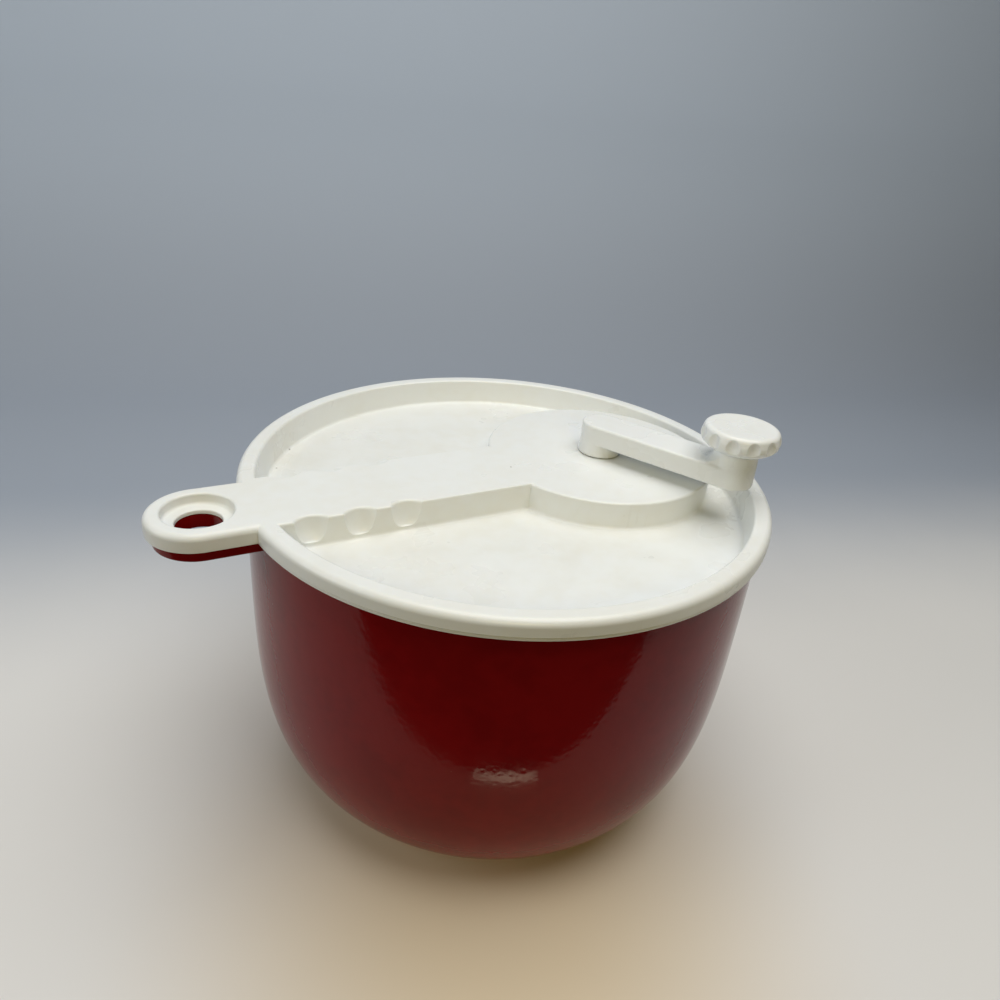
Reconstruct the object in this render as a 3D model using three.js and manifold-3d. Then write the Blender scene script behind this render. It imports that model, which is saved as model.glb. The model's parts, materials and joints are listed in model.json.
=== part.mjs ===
// A crank salad spinner: a deep bowl with a hang tab, a slotted basket that turns on a pin in the
// bowl, and a lid whose raised paddle covers a gear pair driven by a small crank.
// Millimetres, +Z up. The origin is the centre of the bowl's flat base. The lid's handle tab points
// along -X and its crank stands on the +X side.
import * as THREE from 'three';
import Module from 'manifold-3d';
import { mergeGeometries, mergeVertices } from 'three/addons/utils/BufferGeometryUtils.js';

const wasm = await Module();
wasm.setup();

// ---------------------------------------------------------------- driving dimensions
// Clearances
const SEAT_GAP = 0.35; // between pieces that rest on or clamp each other
const TURN_GAP = 0.5; // end gap where one piece turns against another
const SHAFT_GAP = 0.35; // all round a shaft, pin or screw in its hole
const RIM_GAP = 0.5; // bowl's edge to the lid above it
const TRAY_GAP = 0.6; // tray wall to bowl wall
const GEAR_ROOM = 3.4; // gear tips to the screw pillars
const PILLAR_ROOM = 1.4; // screw pillars to the gear box wall
const OVERRUN = 1; // how far cutters run past the faces they open

// Bowl
const BOWL_RADIUS = 123.5; // outside, at the belly
const BOWL_HEIGHT = 173.4; // base to rim edge
const BOWL_BELLY = 142; // height at which the wall starts to curve in
const BOWL_BASE_RADIUS = 60;
const BOWL_WALL = 2.4;
const BOWL_CURVE = 4; // exponent of the wall's curve: 2 is an ellipse, more is squarer
const BOWL_TAB_THICKNESS = 3;
const BOSS_WALL = 5; // of the floor boss round the pivot pin
const PIN_FLOOR = 0.6; // left under the pin's blind hole

// Lid
const LID_WALL = 2.2;
const TRAY_WALL = 1.7;
const TRAY_DEPTH = 13.5; // rim top down to the tray floor
const TRAY_DRAFT = 2.3; // the tray is this much smaller in radius at its floor
const TRAY_FILLET = 3;
const RIM_HEIGHT = 9.1; // rim top down to the skirt's lower edge
const RIM_ROUND = 4; // radius of the rim's outer edge
const SKIRT_GAP = 1.5; // between bowl and skirt
const SKIRT_WALL = 2;
const SKIRT_BAND = 2; // height of the set-back band at the skirt's lower edge
const SKIRT_STEP = 0.5;

// Handle tab and its hang hole
const TAB_REACH = 144.5; // lid centre to hole centre
const TAB_RADIUS = 21.4; // half the tab's width, and its round end
const TAB_ROUND = 3.5;
const HOLE_RADIUS = 9.6;
const RECESS_RADIUS = 14.6;
const RECESS_DEPTH = 5;

// Paddle grip on the lid, with its finger scoops
const ARM_WIDTH = 44.4;
const SCOOP_COUNT = 3;
const SCOOP_PITCH = 21;
const SCOOP_FIRST = -61.5; // scoop nearest the paddle
const SCOOP_DEPTH = 3.4;
const CHANNEL_MARGIN = 12; // the hollow under the arm stops this far short of the tray's wall
const SCOOP_RADIUS = 8; // at the top; the scoop tapers to nothing at the tray floor

// Gears
const GEAR_MODULE = 2;
const GEAR_TEETH = 42;
const PINION_TEETH = 12;
const ADDENDUM = 0.75; // stub teeth, as a share of the module
const DEDENDUM = 1;
const GEAR_WIDTH = 6;
const GEAR_WEB = 2.4; // thickness of the web between hub and rim
const GEAR_RIM = 3; // rim under the teeth
const GEAR_HUB = 5; // hub wall round the shaft
const GEAR_HOLES = 6;
const GEAR_HOLE = 6; // radius of the lightening holes
const PINION_OVERHANG = 0.8; // the pinion is this much longer than the gear
const BACKLASH = 0.5;
const PRESSURE_ANGLE = THREE.MathUtils.degToRad(20);

// Crank and knob
const CRANK_LENGTH = 69.8;
const CRANK_ANGLE = THREE.MathUtils.degToRad(-62.3);
const CRANK_RADIUS = 10.4; // half the arm's width
const CRANK_RISE = 16.8; // paddle top to crank top
const CRANK_THICKNESS = 10;
const SOCKET_ROOF = 3.5; // crank wall over its shaft
const HUB_FLARE = 0.6; // the hub's foot is this much wider than the arm
const NECK_INSET = 1.5; // the neck is this much narrower than the arm's end
const NECK_FILLET = 4;
const NECK_RISE = 8.5; // crank top to the top of the neck under the knob
const KNOB_RADIUS = 18.2;
const KNOB_HEIGHT = 9.8;
const KNOB_DISH = 0.8; // hollow of the knob's top
const KNOB_FLUTES = 12;
const FLUTE_RADIUS = 3.2;
const FLUTE_DEPTH = 1.3;

// Shafts, bushes and screws
const CRANK_SHAFT_RADIUS = 5;
const SPINDLE_RADIUS = 4.2;
const BUSH_WALL = 1.8;
const BUSH_FLANGE = 1.4;
const FLANGE_REACH = 2; // bush flange beyond its sleeve
const BOSS_DEPTH = 3; // of the boss under the crank, for its bush
const BUSH_BOSS = 2.5; // boss wall round a bush
const SPINDLE_BOSS = 3.5; // wall of the blind boss over the spindle
const SPINDLE_SHORT = 1; // the spindle stops this far below the lid's ceiling
const COVER_DEPTH = 8; // how far the gear cover hangs below the tray
const COVER_WALL = 2;
const SCREW_RADIUS = 1.5;
const SCREW_HEAD_RADIUS = 3;
const SCREW_HEAD = 1.7;
const SCREW_DRIVE = 0.7; // width of the cross slot
const SCREW_LENGTH = 9;
const PILLAR_RADIUS = 3.6;
const WASHER_RADIUS = 6.5;
const WASHER_THICKNESS = 0.9;
const KNOB_PIN_RADIUS = 3;
const PIN_HEAD = 2.2; // depth of the knob pin's head
const PIN_FLANGE = 2.5; // the head's reach beyond the pin
const BARB = 1; // how far the knob pin's snap ring stands out
const HEX_FLATS_CUT = 0.2; // hexagons are this much smaller across corners than the shaft

// Basket and what carries and drives it
const BASKET_GAP = 9; // basket wall to bowl wall
const BASKET_WALL = 2;
const BASKET_FLOOR = 10; // underside of the basket above the bowl's base plane
const BASKET_BASE_RADIUS = 54;
const BASKET_RIM_WIDTH = 6;
const BASKET_RIM_HEIGHT = 6;
const SLOT_COUNT = 24;
const SLOT_WIDTH = 4;
const SLOT_ROWS = 2;
const SLOT_BRIDGE = 8; // solid band above each row of slots
const SLOT_START = 34; // lowest slot above the basket's floor
const FLOOR_SLOT_START = 18; // floor slots, from the centre outwards
const FLOOR_SLOT_MARGIN = 10; // and short of the floor's edge
const FLOOR_SLOT_COUNT = 12;
const DRIVER_THICKNESS = 2.5;
const DRIVER_RING = 8;
const DRIVER_FLANGE = 5; // depth of the driver's outer flange
const DRIVER_ROOM = 2; // driver to basket wall
const DRIVER_HUB = 6; // driver hub wall round the spindle
const HUB_RISE = 1.4; // driver hub above its spokes
const HUB_DROP = 2.5; // driver hub below its spokes
const RIM_OVER_DRIVER = 1; // basket rim above the driver
const SPOKE_COUNT = 6;
const SPOKE_WIDTH = 10;
const LUG_COUNT = 4;
const LUG_WIDTH = 8;
const LUG_SHORT = 1; // lugs stop this far inside the basket's rim edge
const PIVOT_RADIUS = 3;
const PIVOT_TOP = 19.5;
const BEARING_RADIUS = 7;
const BEARING_WALL = 2.4; // of the basket's hub round the bearing
const BEARING_NECK = 1.8; // depth of the groove that keeps the ring
const RING_THICKNESS = 0.9;
const BOSS_SEAT = 3; // floor boss below the basket's underside

// Facets round the large and the small turned pieces
const LARGE = 48;
const SMALL = 20;
const ROUND = 32; // crank ends
const FINE = 12; // screws and their pillars

// ---------------------------------------------------------------- derived places
const skirtInner = BOWL_RADIUS + SKIRT_GAP;
const lidRadius = skirtInner + SKIRT_WALL;
const bowlInner = BOWL_RADIUS - BOWL_WALL;
const trayRadius = bowlInner - TRAY_GAP - TRAY_WALL;
const trayFloorRadius = trayRadius - TRAY_DRAFT;
const zTop = BOWL_HEIGHT + RIM_GAP + LID_WALL;
const zSkirt = zTop - RIM_HEIGHT;
const zTray = zTop - TRAY_DEPTH;
const zUnder = zTray - LID_WALL;
const zTabHollow = zTop - RECESS_DEPTH - LID_WALL;

const gearRadius = (GEAR_MODULE * GEAR_TEETH) / 2;
const pinionRadius = (GEAR_MODULE * PINION_TEETH) / 2;
const crankX = gearRadius + pinionRadius;
const gearTip = gearRadius + ADDENDUM * GEAR_MODULE;
const pillarCircle = gearTip + GEAR_ROOM + PILLAR_RADIUS;
const paddleInner = pillarCircle + PILLAR_RADIUS + PILLAR_ROOM;
const paddleRadius = paddleInner + LID_WALL;
const armHalf = ARM_WIDTH / 2;
const channelHalf = armHalf - SCOOP_DEPTH - LID_WALL;
const gearBoxEnd = -(pinionRadius + GEAR_MODULE + GEAR_ROOM + COVER_WALL + 2 * PILLAR_RADIUS);
const armPillarX = gearBoxEnd + COVER_WALL + PILLAR_ROOM + PILLAR_RADIUS;
const armPillarY = channelHalf - TURN_GAP - PILLAR_RADIUS;

const zCeiling = zTop - LID_WALL;
const zCoverTop = zUnder - SEAT_GAP;
const zCoverBottom = zUnder - COVER_DEPTH;
const zCoverFloor = zCoverBottom + COVER_WALL;
const zSleeveTop = zCoverFloor + BUSH_BOSS;
const zBushFlangeTop = zCeiling - BOSS_DEPTH - SEAT_GAP;
const zGearTop = zBushFlangeTop - BUSH_FLANGE - TURN_GAP;
const zGearBottom = zGearTop - GEAR_WIDTH;
const zPinion = zGearBottom - PINION_OVERHANG;
const zSpindleTop = zCeiling - SPINDLE_SHORT;
const zCrankFoot = zTop + TURN_GAP;
const zCrankTop = zTop + CRANK_RISE;
const zCrankUnder = zCrankTop - CRANK_THICKNESS;
const zNeckTop = zCrankTop + NECK_RISE;
const zKnobBottom = zNeckTop + TURN_GAP;
const knobX = crankX + CRANK_LENGTH * Math.cos(CRANK_ANGLE);
const knobY = CRANK_LENGTH * Math.sin(CRANK_ANGLE);

const zDriverHubTop = zCoverBottom - SEAT_GAP - BUSH_FLANGE - TURN_GAP;
const zDriverTop = zDriverHubTop - HUB_RISE;
const zDriverBottom = zDriverTop - DRIVER_THICKNESS;
const zHubBottom = zDriverBottom - HUB_DROP;
const zBasketRim = zDriverTop + RIM_OVER_DRIVER;
const zNotch = zDriverBottom - TURN_GAP;
const basketRadius = bowlInner - BASKET_GAP;
const basketInner = basketRadius - BASKET_WALL;
const driverRadius = basketInner - DRIVER_ROOM;
const basketReach = basketRadius + BASKET_RIM_WIDTH - BASKET_WALL;
const zBoss = BASKET_FLOOR - BOSS_SEAT;
const zPinHole = BOWL_WALL + PIN_FLOOR;

// ---------------------------------------------------------------- shape helpers
function solid(geometry) {
  const bare = geometry.index ? geometry.toNonIndexed() : geometry.clone();
  bare.deleteAttribute('normal');
  bare.deleteAttribute('uv');
  const merged = mergeVertices(bare, 1e-4);
  const mesh = new wasm.Mesh({
    numProp: 3,
    vertProperties: new Float32Array(merged.attributes.position.array),
    triVerts: dropSlivers(new Uint32Array(merged.index.array)),
  });
  return new wasm.Manifold(mesh);
}

// Triangles whose corners merged into one or two points, as at a lathe's poles
function dropSlivers(indices) {
  const kept = [];
  for (let i = 0; i < indices.length; i += 3) {
    const [a, b, c] = indices.slice(i, i + 3);
    if (a !== b && b !== c && c !== a) kept.push(a, b, c);
  }
  return new Uint32Array(kept);
}

function geometryOf(manifold) {
  const mesh = manifold.getMesh();
  const geometry = new THREE.BufferGeometry();
  geometry.setAttribute('position', new THREE.BufferAttribute(new Float32Array(mesh.vertProperties), 3));
  geometry.setIndex(new THREE.BufferAttribute(new Uint32Array(mesh.triVerts), 1));
  return geometry;
}

// A turned shape about the vertical through (x, y), from [radius, height] points in either order
function turned(profile, segments = LARGE, x = 0, y = 0) {
  const closed = profile[0][0] === 0 ? profile : [...profile, profile[0]];
  let area = 0;
  closed.forEach(([r, z], i) => {
    const [rNext, zNext] = closed[(i + 1) % closed.length];
    area += r * zNext - rNext * z;
  });
  const ordered = area > 0 ? closed : [...closed].reverse();
  const points = ordered.map(([r, z]) => new THREE.Vector2(r, z));
  const geometry = new THREE.LatheGeometry(points, segments);
  geometry.rotateX(Math.PI / 2);
  geometry.translate(x, y, 0);
  return solid(geometry);
}

function cylinder(radius, low, high, segments = SMALL, x = 0, y = 0) {
  return turned([[0, low], [radius, low], [radius, high], [0, high]], segments, x, y);
}

function cone(lowRadius, highRadius, low, high, segments = SMALL, x = 0, y = 0) {
  return turned([[0, low], [lowRadius, low], [highRadius, high], [0, high]], segments, x, y);
}

function tube(inner, outer, low, high, segments = SMALL, x = 0, y = 0) {
  return turned([[inner, low], [outer, low], [outer, high], [inner, high]], segments, x, y);
}

function prism(shape, low, high, curveSegments = SMALL) {
  const geometry = new THREE.ExtrudeGeometry(shape, {
    depth: high - low,
    bevelEnabled: false,
    curveSegments,
  });
  geometry.translate(0, 0, low);
  return solid(geometry);
}

function block(x0, x1, y0, y1, z0, z1) {
  const geometry = new THREE.BoxGeometry(x1 - x0, y1 - y0, z1 - z0);
  geometry.translate((x0 + x1) / 2, (y0 + y1) / 2, (z0 + z1) / 2);
  return solid(geometry);
}

function hexagon(acrossCorners, low, high, x = 0, y = 0) {
  return cylinder(acrossCorners / 2, low, high, 6, x, y);
}

// Outline with straight sides and a round end at each of two points on the X axis
function slotOutline(x0, x1, radius) {
  const shape = new THREE.Shape();
  shape.absarc(x1, 0, radius, -Math.PI / 2, Math.PI / 2, false);
  shape.absarc(x0, 0, radius, Math.PI / 2, (3 * Math.PI) / 2, false);
  shape.closePath();
  return shape;
}

// Quarter round from angle a0 to a1 about a centre, as profile points
function arc(r, z, radius, a0, a1, steps) {
  return Array.from({ length: steps + 1 }, (_, i) => {
    const angle = a0 + ((a1 - a0) * i) / steps;
    return [r + radius * Math.cos(angle), z + radius * Math.sin(angle)];
  });
}

// Points of a cup's wall: a superellipse from its base circle up to its belly
function cupCurve(radius, belly, baseRadius, floor, power, steps) {
  const share = Math.pow(1 - Math.pow(baseRadius / radius, power), 1 / power);
  const depth = (belly - floor) / share;
  return Array.from({ length: steps + 1 }, (_, i) => {
    const t = share * Math.cos((i / steps) * (Math.PI / 2));
    const r = radius * Math.pow(1 - Math.pow(t, power), 1 / power);
    return [r, belly - depth * t];
  });
}

// Copies of a cutter, turned evenly about the Z axis and joined as one solid
function aroundZ(geometry, count, offset = 0) {
  const copies = Array.from({ length: count }, (_, i) => {
    const copy = geometry.clone();
    return copy.rotateZ(offset + (i * 2 * Math.PI) / count);
  });
  return solid(mergeGeometries(copies));
}

function radialBox(r0, r1, width, low, high) {
  const geometry = new THREE.BoxGeometry(r1 - r0, width, high - low);
  return geometry.translate((r0 + r1) / 2, 0, (low + high) / 2);
}

// Involute gear outline about the origin, with one tooth centred on the given direction
function gearOutline(teeth, direction) {
  const pitch = (GEAR_MODULE * teeth) / 2;
  const base = pitch * Math.cos(PRESSURE_ANGLE);
  const root = pitch - DEDENDUM * GEAR_MODULE;
  const tip = pitch + ADDENDUM * GEAR_MODULE;
  const involute = (r) => {
    const pressure = Math.acos(Math.min(1, base / r));
    return Math.tan(pressure) - pressure;
  };
  const halfAtPitch = Math.PI / (2 * teeth) - BACKLASH / (4 * pitch);
  const start = Math.max(base, root);
  const radii = [start, (start + tip) / 2, tip];
  const halfAngle = (r) => halfAtPitch + involute(pitch) - involute(r);
  const shape = new THREE.Shape();
  for (let i = 0; i < teeth; i += 1) {
    const centre = direction + (i * 2 * Math.PI) / teeth;
    const left = radii.map((r) => [r, centre - halfAngle(r)]);
    const right = radii.map((r) => [r, centre + halfAngle(r)]).reverse();
    const tooth = [[root, left[0][1]], ...left, ...right, [root, right[right.length - 1][1]]];
    if (root >= base) tooth.splice(0, 1);
    if (root >= base) tooth.pop();
    tooth.forEach(([r, angle], j) => {
      const x = r * Math.cos(angle);
      const y = r * Math.sin(angle);
      if (i === 0 && j === 0) shape.moveTo(x, y);
      else shape.lineTo(x, y);
    });
  }
  shape.closePath();
  return shape;
}

// ---------------------------------------------------------------- finishes
const finishes = {
  white: { color: 0xe8ebe4, roughness: 0.42, metalness: 0 },
  red: { color: 0x7c0f17, roughness: 0.18, metalness: 0 },
  natural: { color: 0xdcd8ca, roughness: 0.5, metalness: 0 },
  steel: { color: 0xb9bcc0, roughness: 0.3, metalness: 1 },
};

const model = new THREE.Group();

function add(name, manifold, finish) {
  const mesh = new THREE.Mesh(geometryOf(manifold), new THREE.MeshStandardMaterial(finishes[finish]));
  mesh.name = name;
  model.add(mesh);
}

// ---------------------------------------------------------------- bowl
function bowl() {
  const outer = cupCurve(BOWL_RADIUS, BOWL_BELLY, BOWL_BASE_RADIUS, 0, BOWL_CURVE, 9);
  const inner = cupCurve(bowlInner, BOWL_BELLY, BOWL_BASE_RADIUS - 1, BOWL_WALL, BOWL_CURVE, 8);
  const profile = [
    [0, 0],
    ...outer,
    [BOWL_RADIUS, BOWL_HEIGHT],
    [bowlInner, BOWL_HEIGHT],
    ...inner.reverse(),
    [0, BOWL_WALL],
  ];
  const shell = turned(profile);
  const boss = cylinder(PIVOT_RADIUS + BOSS_WALL, BOWL_WALL / 2, zBoss);
  const pinHole = cylinder(PIVOT_RADIUS + SHAFT_GAP, zPinHole, zBoss + OVERRUN);
  return shell.add(boss).subtract(pinHole).add(bowlTab());
}

// The bowl's own hang tab lies under the lid's and fills its hollow
function bowlTab() {
  const radius = TAB_RADIUS - LID_WALL - SEAT_GAP;
  const bottom = zSkirt - SEAT_GAP - BOWL_TAB_THICKNESS;
  const outline = slotOutline(-TAB_REACH, -BOWL_RADIUS + TAB_RADIUS, radius);
  const top = bottom + BOWL_TAB_THICKNESS;
  const plate = prism(outline, bottom, top);
  const upper = prism(outline, top - SEAT_GAP, zTabHollow - SEAT_GAP);
  const skirtRoom = cylinder(lidRadius + SEAT_GAP, top, zTop, LARGE);
  const wallRoom = cylinder(BOWL_RADIUS - BOWL_WALL / 2, bottom - OVERRUN, zTop, LARGE);
  const hole = cylinder(HOLE_RADIUS, bottom - OVERRUN, zTop, SMALL, -TAB_REACH);
  return plate.add(upper.subtract(skirtRoom)).subtract(wallRoom).subtract(hole);
}

add('bowl', bowl(), 'red');

add('bowl_pivot_pin', turned([
  [0, zPinHole + SEAT_GAP],
  [PIVOT_RADIUS, zPinHole + SEAT_GAP],
  [PIVOT_RADIUS, PIVOT_TOP - PIVOT_RADIUS / 2],
  [PIVOT_RADIUS * 0.6, PIVOT_TOP - PIVOT_RADIUS / 10],
  [0, PIVOT_TOP],
], SMALL), 'steel');

// ---------------------------------------------------------------- basket and its bearing
const zBearingBottom = zBoss + SEAT_GAP;
const zHubTop = PIVOT_TOP + PIVOT_RADIUS / 2;
const zRing = zHubTop + SEAT_GAP;
const zRingTop = zRing + RING_THICKNESS;
const neckRadius = BEARING_RADIUS - BEARING_NECK;
const bearingFlange = BEARING_RADIUS + SHAFT_GAP + BEARING_WALL;

add('basket_bearing', turned([
  [0, PIVOT_TOP + SEAT_GAP],
  [PIVOT_RADIUS + SHAFT_GAP, PIVOT_TOP],
  [PIVOT_RADIUS + SHAFT_GAP, zBearingBottom],
  [bearingFlange, zBearingBottom],
  [bearingFlange, BASKET_FLOOR - TURN_GAP],
  [BEARING_RADIUS, BASKET_FLOOR - TURN_GAP],
  [BEARING_RADIUS, zHubTop],
  [neckRadius, zHubTop],
  [neckRadius, zRingTop + SEAT_GAP],
  [(neckRadius + 3 * BEARING_RADIUS) / 4, zRingTop + SEAT_GAP],
  [neckRadius, zRingTop + BEARING_NECK],
  [0, zRingTop + BEARING_NECK],
], SMALL), 'natural');

add('bearing_ring', tube(
  neckRadius + SHAFT_GAP, BEARING_RADIUS + BEARING_NECK, zRing, zRingTop,
), 'steel');

function basket() {
  const rimLow = zBasketRim - BASKET_RIM_HEIGHT;
  const belly = BOWL_BELLY - BASKET_GAP;
  const floorTop = BASKET_FLOOR + BASKET_WALL;
  const outer = cupCurve(basketRadius, belly, BASKET_BASE_RADIUS, BASKET_FLOOR, BOWL_CURVE, 6);
  const inner = cupCurve(basketInner, belly, BASKET_BASE_RADIUS - 1, floorTop, BOWL_CURVE, 6);
  const hubInner = BEARING_RADIUS + SHAFT_GAP;
  const profile = [
    [hubInner, BASKET_FLOOR],
    ...outer,
    [basketRadius, rimLow],
    [basketReach, rimLow + BASKET_WALL],
    [basketReach, zBasketRim],
    [basketInner, zBasketRim],
    ...inner.reverse(),
    [hubInner + BEARING_WALL, floorTop],
    [hubInner + BEARING_WALL, zHubTop],
    [hubInner, zHubTop],
  ];
  const reach = basketReach + OVERRUN;
  const slotLow = BASKET_FLOOR + SLOT_START;
  const slotHigh = rimLow;
  const rowHeight = (slotHigh - slotLow) / SLOT_ROWS;
  let shell = turned(profile);
  for (let row = 0; row < SLOT_ROWS; row += 1) {
    const low = slotLow + row * rowHeight;
    const cutter = radialBox(BASKET_BASE_RADIUS, reach, SLOT_WIDTH, low, low + rowHeight - SLOT_BRIDGE);
    shell = shell.subtract(aroundZ(cutter, SLOT_COUNT));
  }
  const floorSlotEnd = BASKET_BASE_RADIUS - FLOOR_SLOT_MARGIN;
  const floorSlot = radialBox(
    FLOOR_SLOT_START, floorSlotEnd, SLOT_WIDTH, BASKET_FLOOR - OVERRUN, floorTop + OVERRUN,
  );
  const notchWidth = LUG_WIDTH + 2 * TURN_GAP;
  const notch = radialBox(basketInner - OVERRUN, reach, notchWidth, zNotch, zBasketRim + OVERRUN);
  return shell
    .subtract(aroundZ(floorSlot, FLOOR_SLOT_COUNT))
    .subtract(aroundZ(notch, LUG_COUNT, Math.PI / LUG_COUNT));
}

add('basket', basket(), 'white');

// ---------------------------------------------------------------- lid
function lidShell() {
  return turned([
    [0, zUnder],
    [trayFloorRadius + TRAY_WALL - TRAY_FILLET, zUnder],
    [trayFloorRadius + TRAY_WALL, zUnder + TRAY_FILLET],
    [trayRadius + TRAY_WALL, zCeiling],
    [skirtInner, zCeiling],
    [skirtInner, zSkirt],
    [lidRadius - SKIRT_STEP, zSkirt],
    [lidRadius - SKIRT_STEP, zSkirt + SKIRT_BAND],
    [lidRadius, zSkirt + SKIRT_BAND],
    ...arc(lidRadius - RIM_ROUND, zTop - RIM_ROUND, RIM_ROUND, 0, Math.PI / 2, 3),
    [trayRadius, zTop],
    [trayFloorRadius, zTray + TRAY_FILLET],
    [trayFloorRadius - TRAY_FILLET, zTray],
    [0, zTray],
  ]);
}

// Tab with its round upper edge, open underneath to take the bowl's tab
function lidTab() {
  const outline = slotOutline(-TAB_REACH, -trayRadius, TAB_RADIUS - TAB_ROUND);
  const geometry = new THREE.ExtrudeGeometry(outline, {
    depth: RIM_HEIGHT,
    bevelSize: TAB_ROUND,
    bevelThickness: TAB_ROUND,
    bevelSegments: 3,
    curveSegments: 16,
  });
  geometry.translate(0, 0, zTop - RIM_HEIGHT - TAB_ROUND);
  const span = block(-2 * TAB_REACH, -trayRadius, -TAB_REACH, TAB_REACH, zSkirt, zTop);
  return solid(geometry).intersect(span);
}

// Gear box, grip channel, hang hole and the ring-shaped channel for the bowl's edge
function lidHollows() {
  const rimChannel = turned([
    [trayFloorRadius + TRAY_WALL, zUnder - OVERRUN],
    [skirtInner, zUnder - OVERRUN],
    [skirtInner, zCeiling],
    [trayRadius + TRAY_WALL, zCeiling],
    [trayFloorRadius + TRAY_WALL, zUnder + TRAY_FILLET],
  ]);
  const tabHollow = prism(
    slotOutline(-TAB_REACH, -skirtInner + TAB_RADIUS, TAB_RADIUS - LID_WALL),
    zSkirt - OVERRUN, zTabHollow,
  ).subtract(cylinder(lidRadius - SKIRT_STEP, zUnder, zTop, LARGE));
  const channelEnd = trayRadius - CHANNEL_MARGIN;
  return [
    cylinder(paddleInner, zUnder - OVERRUN, zCeiling, LARGE, crankX),
    block(gearBoxEnd, crankX, -channelHalf, channelHalf, zUnder - OVERRUN, zCeiling),
    block(-channelEnd, gearBoxEnd - COVER_WALL, -channelHalf, channelHalf, zUnder - OVERRUN, zCeiling),
    tabHollow,
    rimChannel,
    cylinder(HOLE_RADIUS, zSkirt - OVERRUN, zTop + OVERRUN, SMALL, -TAB_REACH),
    cylinder(RECESS_RADIUS, zTop - RECESS_DEPTH, zTop + OVERRUN, SMALL, -TAB_REACH),
  ];
}

function scoops() {
  const foot = SCOOP_RADIUS - SCOOP_DEPTH;
  const cutters = [];
  for (let i = 0; i < SCOOP_COUNT; i += 1) {
    for (const side of [-1, 1]) {
      const x = SCOOP_FIRST - i * SCOOP_PITCH;
      cutters.push(cone(foot, SCOOP_RADIUS, zTray, zTop, SMALL, x, side * (armHalf + foot)));
    }
  }
  return cutters;
}

const pillarAngles = [40, 110, 250, 320].map(THREE.MathUtils.degToRad);
const pillars = [
  ...pillarAngles.map((a) => [crankX + pillarCircle * Math.cos(a), pillarCircle * Math.sin(a)]),
  [armPillarX, armPillarY],
  [armPillarX, -armPillarY],
];

function lid() {
  const crankBoss = CRANK_SHAFT_RADIUS + SHAFT_GAP + BUSH_WALL + SHAFT_GAP;
  const holeRadius = SCREW_RADIUS + SHAFT_GAP;
  const pillarFoot = zCoverFloor + SEAT_GAP;
  let body = lidShell()
    .add(cylinder(paddleRadius, zUnder, zTop, LARGE, crankX))
    .add(block(-trayRadius - TRAY_WALL / 2, crankX, -armHalf, armHalf, zUnder, zTop))
    .add(lidTab());
  scoops().forEach((cutter) => { body = body.subtract(cutter); });
  lidHollows().forEach((cutter) => { body = body.subtract(cutter); });
  pillars.forEach(([x, y]) => {
    body = body
      .add(cylinder(PILLAR_RADIUS, pillarFoot, zCeiling + LID_WALL / 2, FINE, x, y))
      .subtract(cylinder(holeRadius, pillarFoot - OVERRUN, zCoverFloor + SCREW_LENGTH, FINE, x, y));
  });
  return body
    .add(cylinder(crankBoss + BUSH_BOSS, zCeiling - BOSS_DEPTH, zCeiling + LID_WALL / 2, SMALL, crankX))
    .subtract(cylinder(crankBoss, zCeiling - BOSS_DEPTH - OVERRUN, zTop + OVERRUN, SMALL, crankX))
    .add(cylinder(SPINDLE_RADIUS + SPINDLE_BOSS, zGearTop + TURN_GAP, zCeiling + LID_WALL / 2))
    .subtract(cylinder(SPINDLE_RADIUS + SHAFT_GAP, zGearTop, zSpindleTop + SEAT_GAP));
}

add('lid', lid(), 'white');

// ---------------------------------------------------------------- gear cover and its screws
function gearCover() {
  const span = paddleInner + COVER_WALL;
  const arm = channelHalf + COVER_WALL;
  const bushRoom = SPINDLE_RADIUS + SHAFT_GAP + BUSH_WALL + SHAFT_GAP;
  let body = cylinder(span, zCoverBottom, zCoverTop, LARGE, crankX)
    .add(block(gearBoxEnd - COVER_WALL, crankX, -arm, arm, zCoverBottom, zCoverTop))
    .subtract(cylinder(paddleInner, zCoverFloor, zCoverTop + OVERRUN, LARGE, crankX))
    .subtract(block(gearBoxEnd, crankX, -channelHalf, channelHalf, zCoverFloor, zCoverTop + OVERRUN))
    .add(cylinder(bushRoom + BUSH_BOSS, zCoverBottom, zSleeveTop));
  pillars.forEach(([x, y]) => {
    body = body.subtract(cylinder(SCREW_RADIUS + SHAFT_GAP, zCoverBottom - OVERRUN, zCoverTop, FINE, x, y));
  });
  return body.subtract(cylinder(bushRoom, zCoverBottom - OVERRUN, zCoverTop));
}

add('gear_cover', gearCover(), 'white');

// A pan-head screw driven upwards, its head's top at the given height, with a cross slot
function screw(x, y, headTop, length) {
  const head = turned([
    [0, headTop - SCREW_HEAD],
    [SCREW_HEAD_RADIUS * 0.7, headTop - SCREW_HEAD],
    [SCREW_HEAD_RADIUS, headTop - SCREW_HEAD * 0.6],
    [SCREW_HEAD_RADIUS, headTop],
    [SCREW_RADIUS, headTop],
    [SCREW_RADIUS, headTop + length - SCREW_RADIUS],
    [SCREW_RADIUS / 3, headTop + length],
    [0, headTop + length],
  ], FINE, x, y);
  const reach = SCREW_HEAD_RADIUS * 0.6;
  const half = SCREW_DRIVE / 2;
  const low = headTop - SCREW_HEAD - OVERRUN;
  const high = headTop - SCREW_HEAD / 2;
  const across = block(x - reach, x + reach, y - half, y + half, low, high);
  const along = block(x - half, x + half, y - reach, y + reach, low, high);
  return head.subtract(across).subtract(along);
}

pillars.forEach(([x, y], i) => {
  add(`cover_screw_${i + 1}`, screw(x, y, zCoverBottom - SEAT_GAP, SCREW_LENGTH), 'steel');
});

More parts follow.
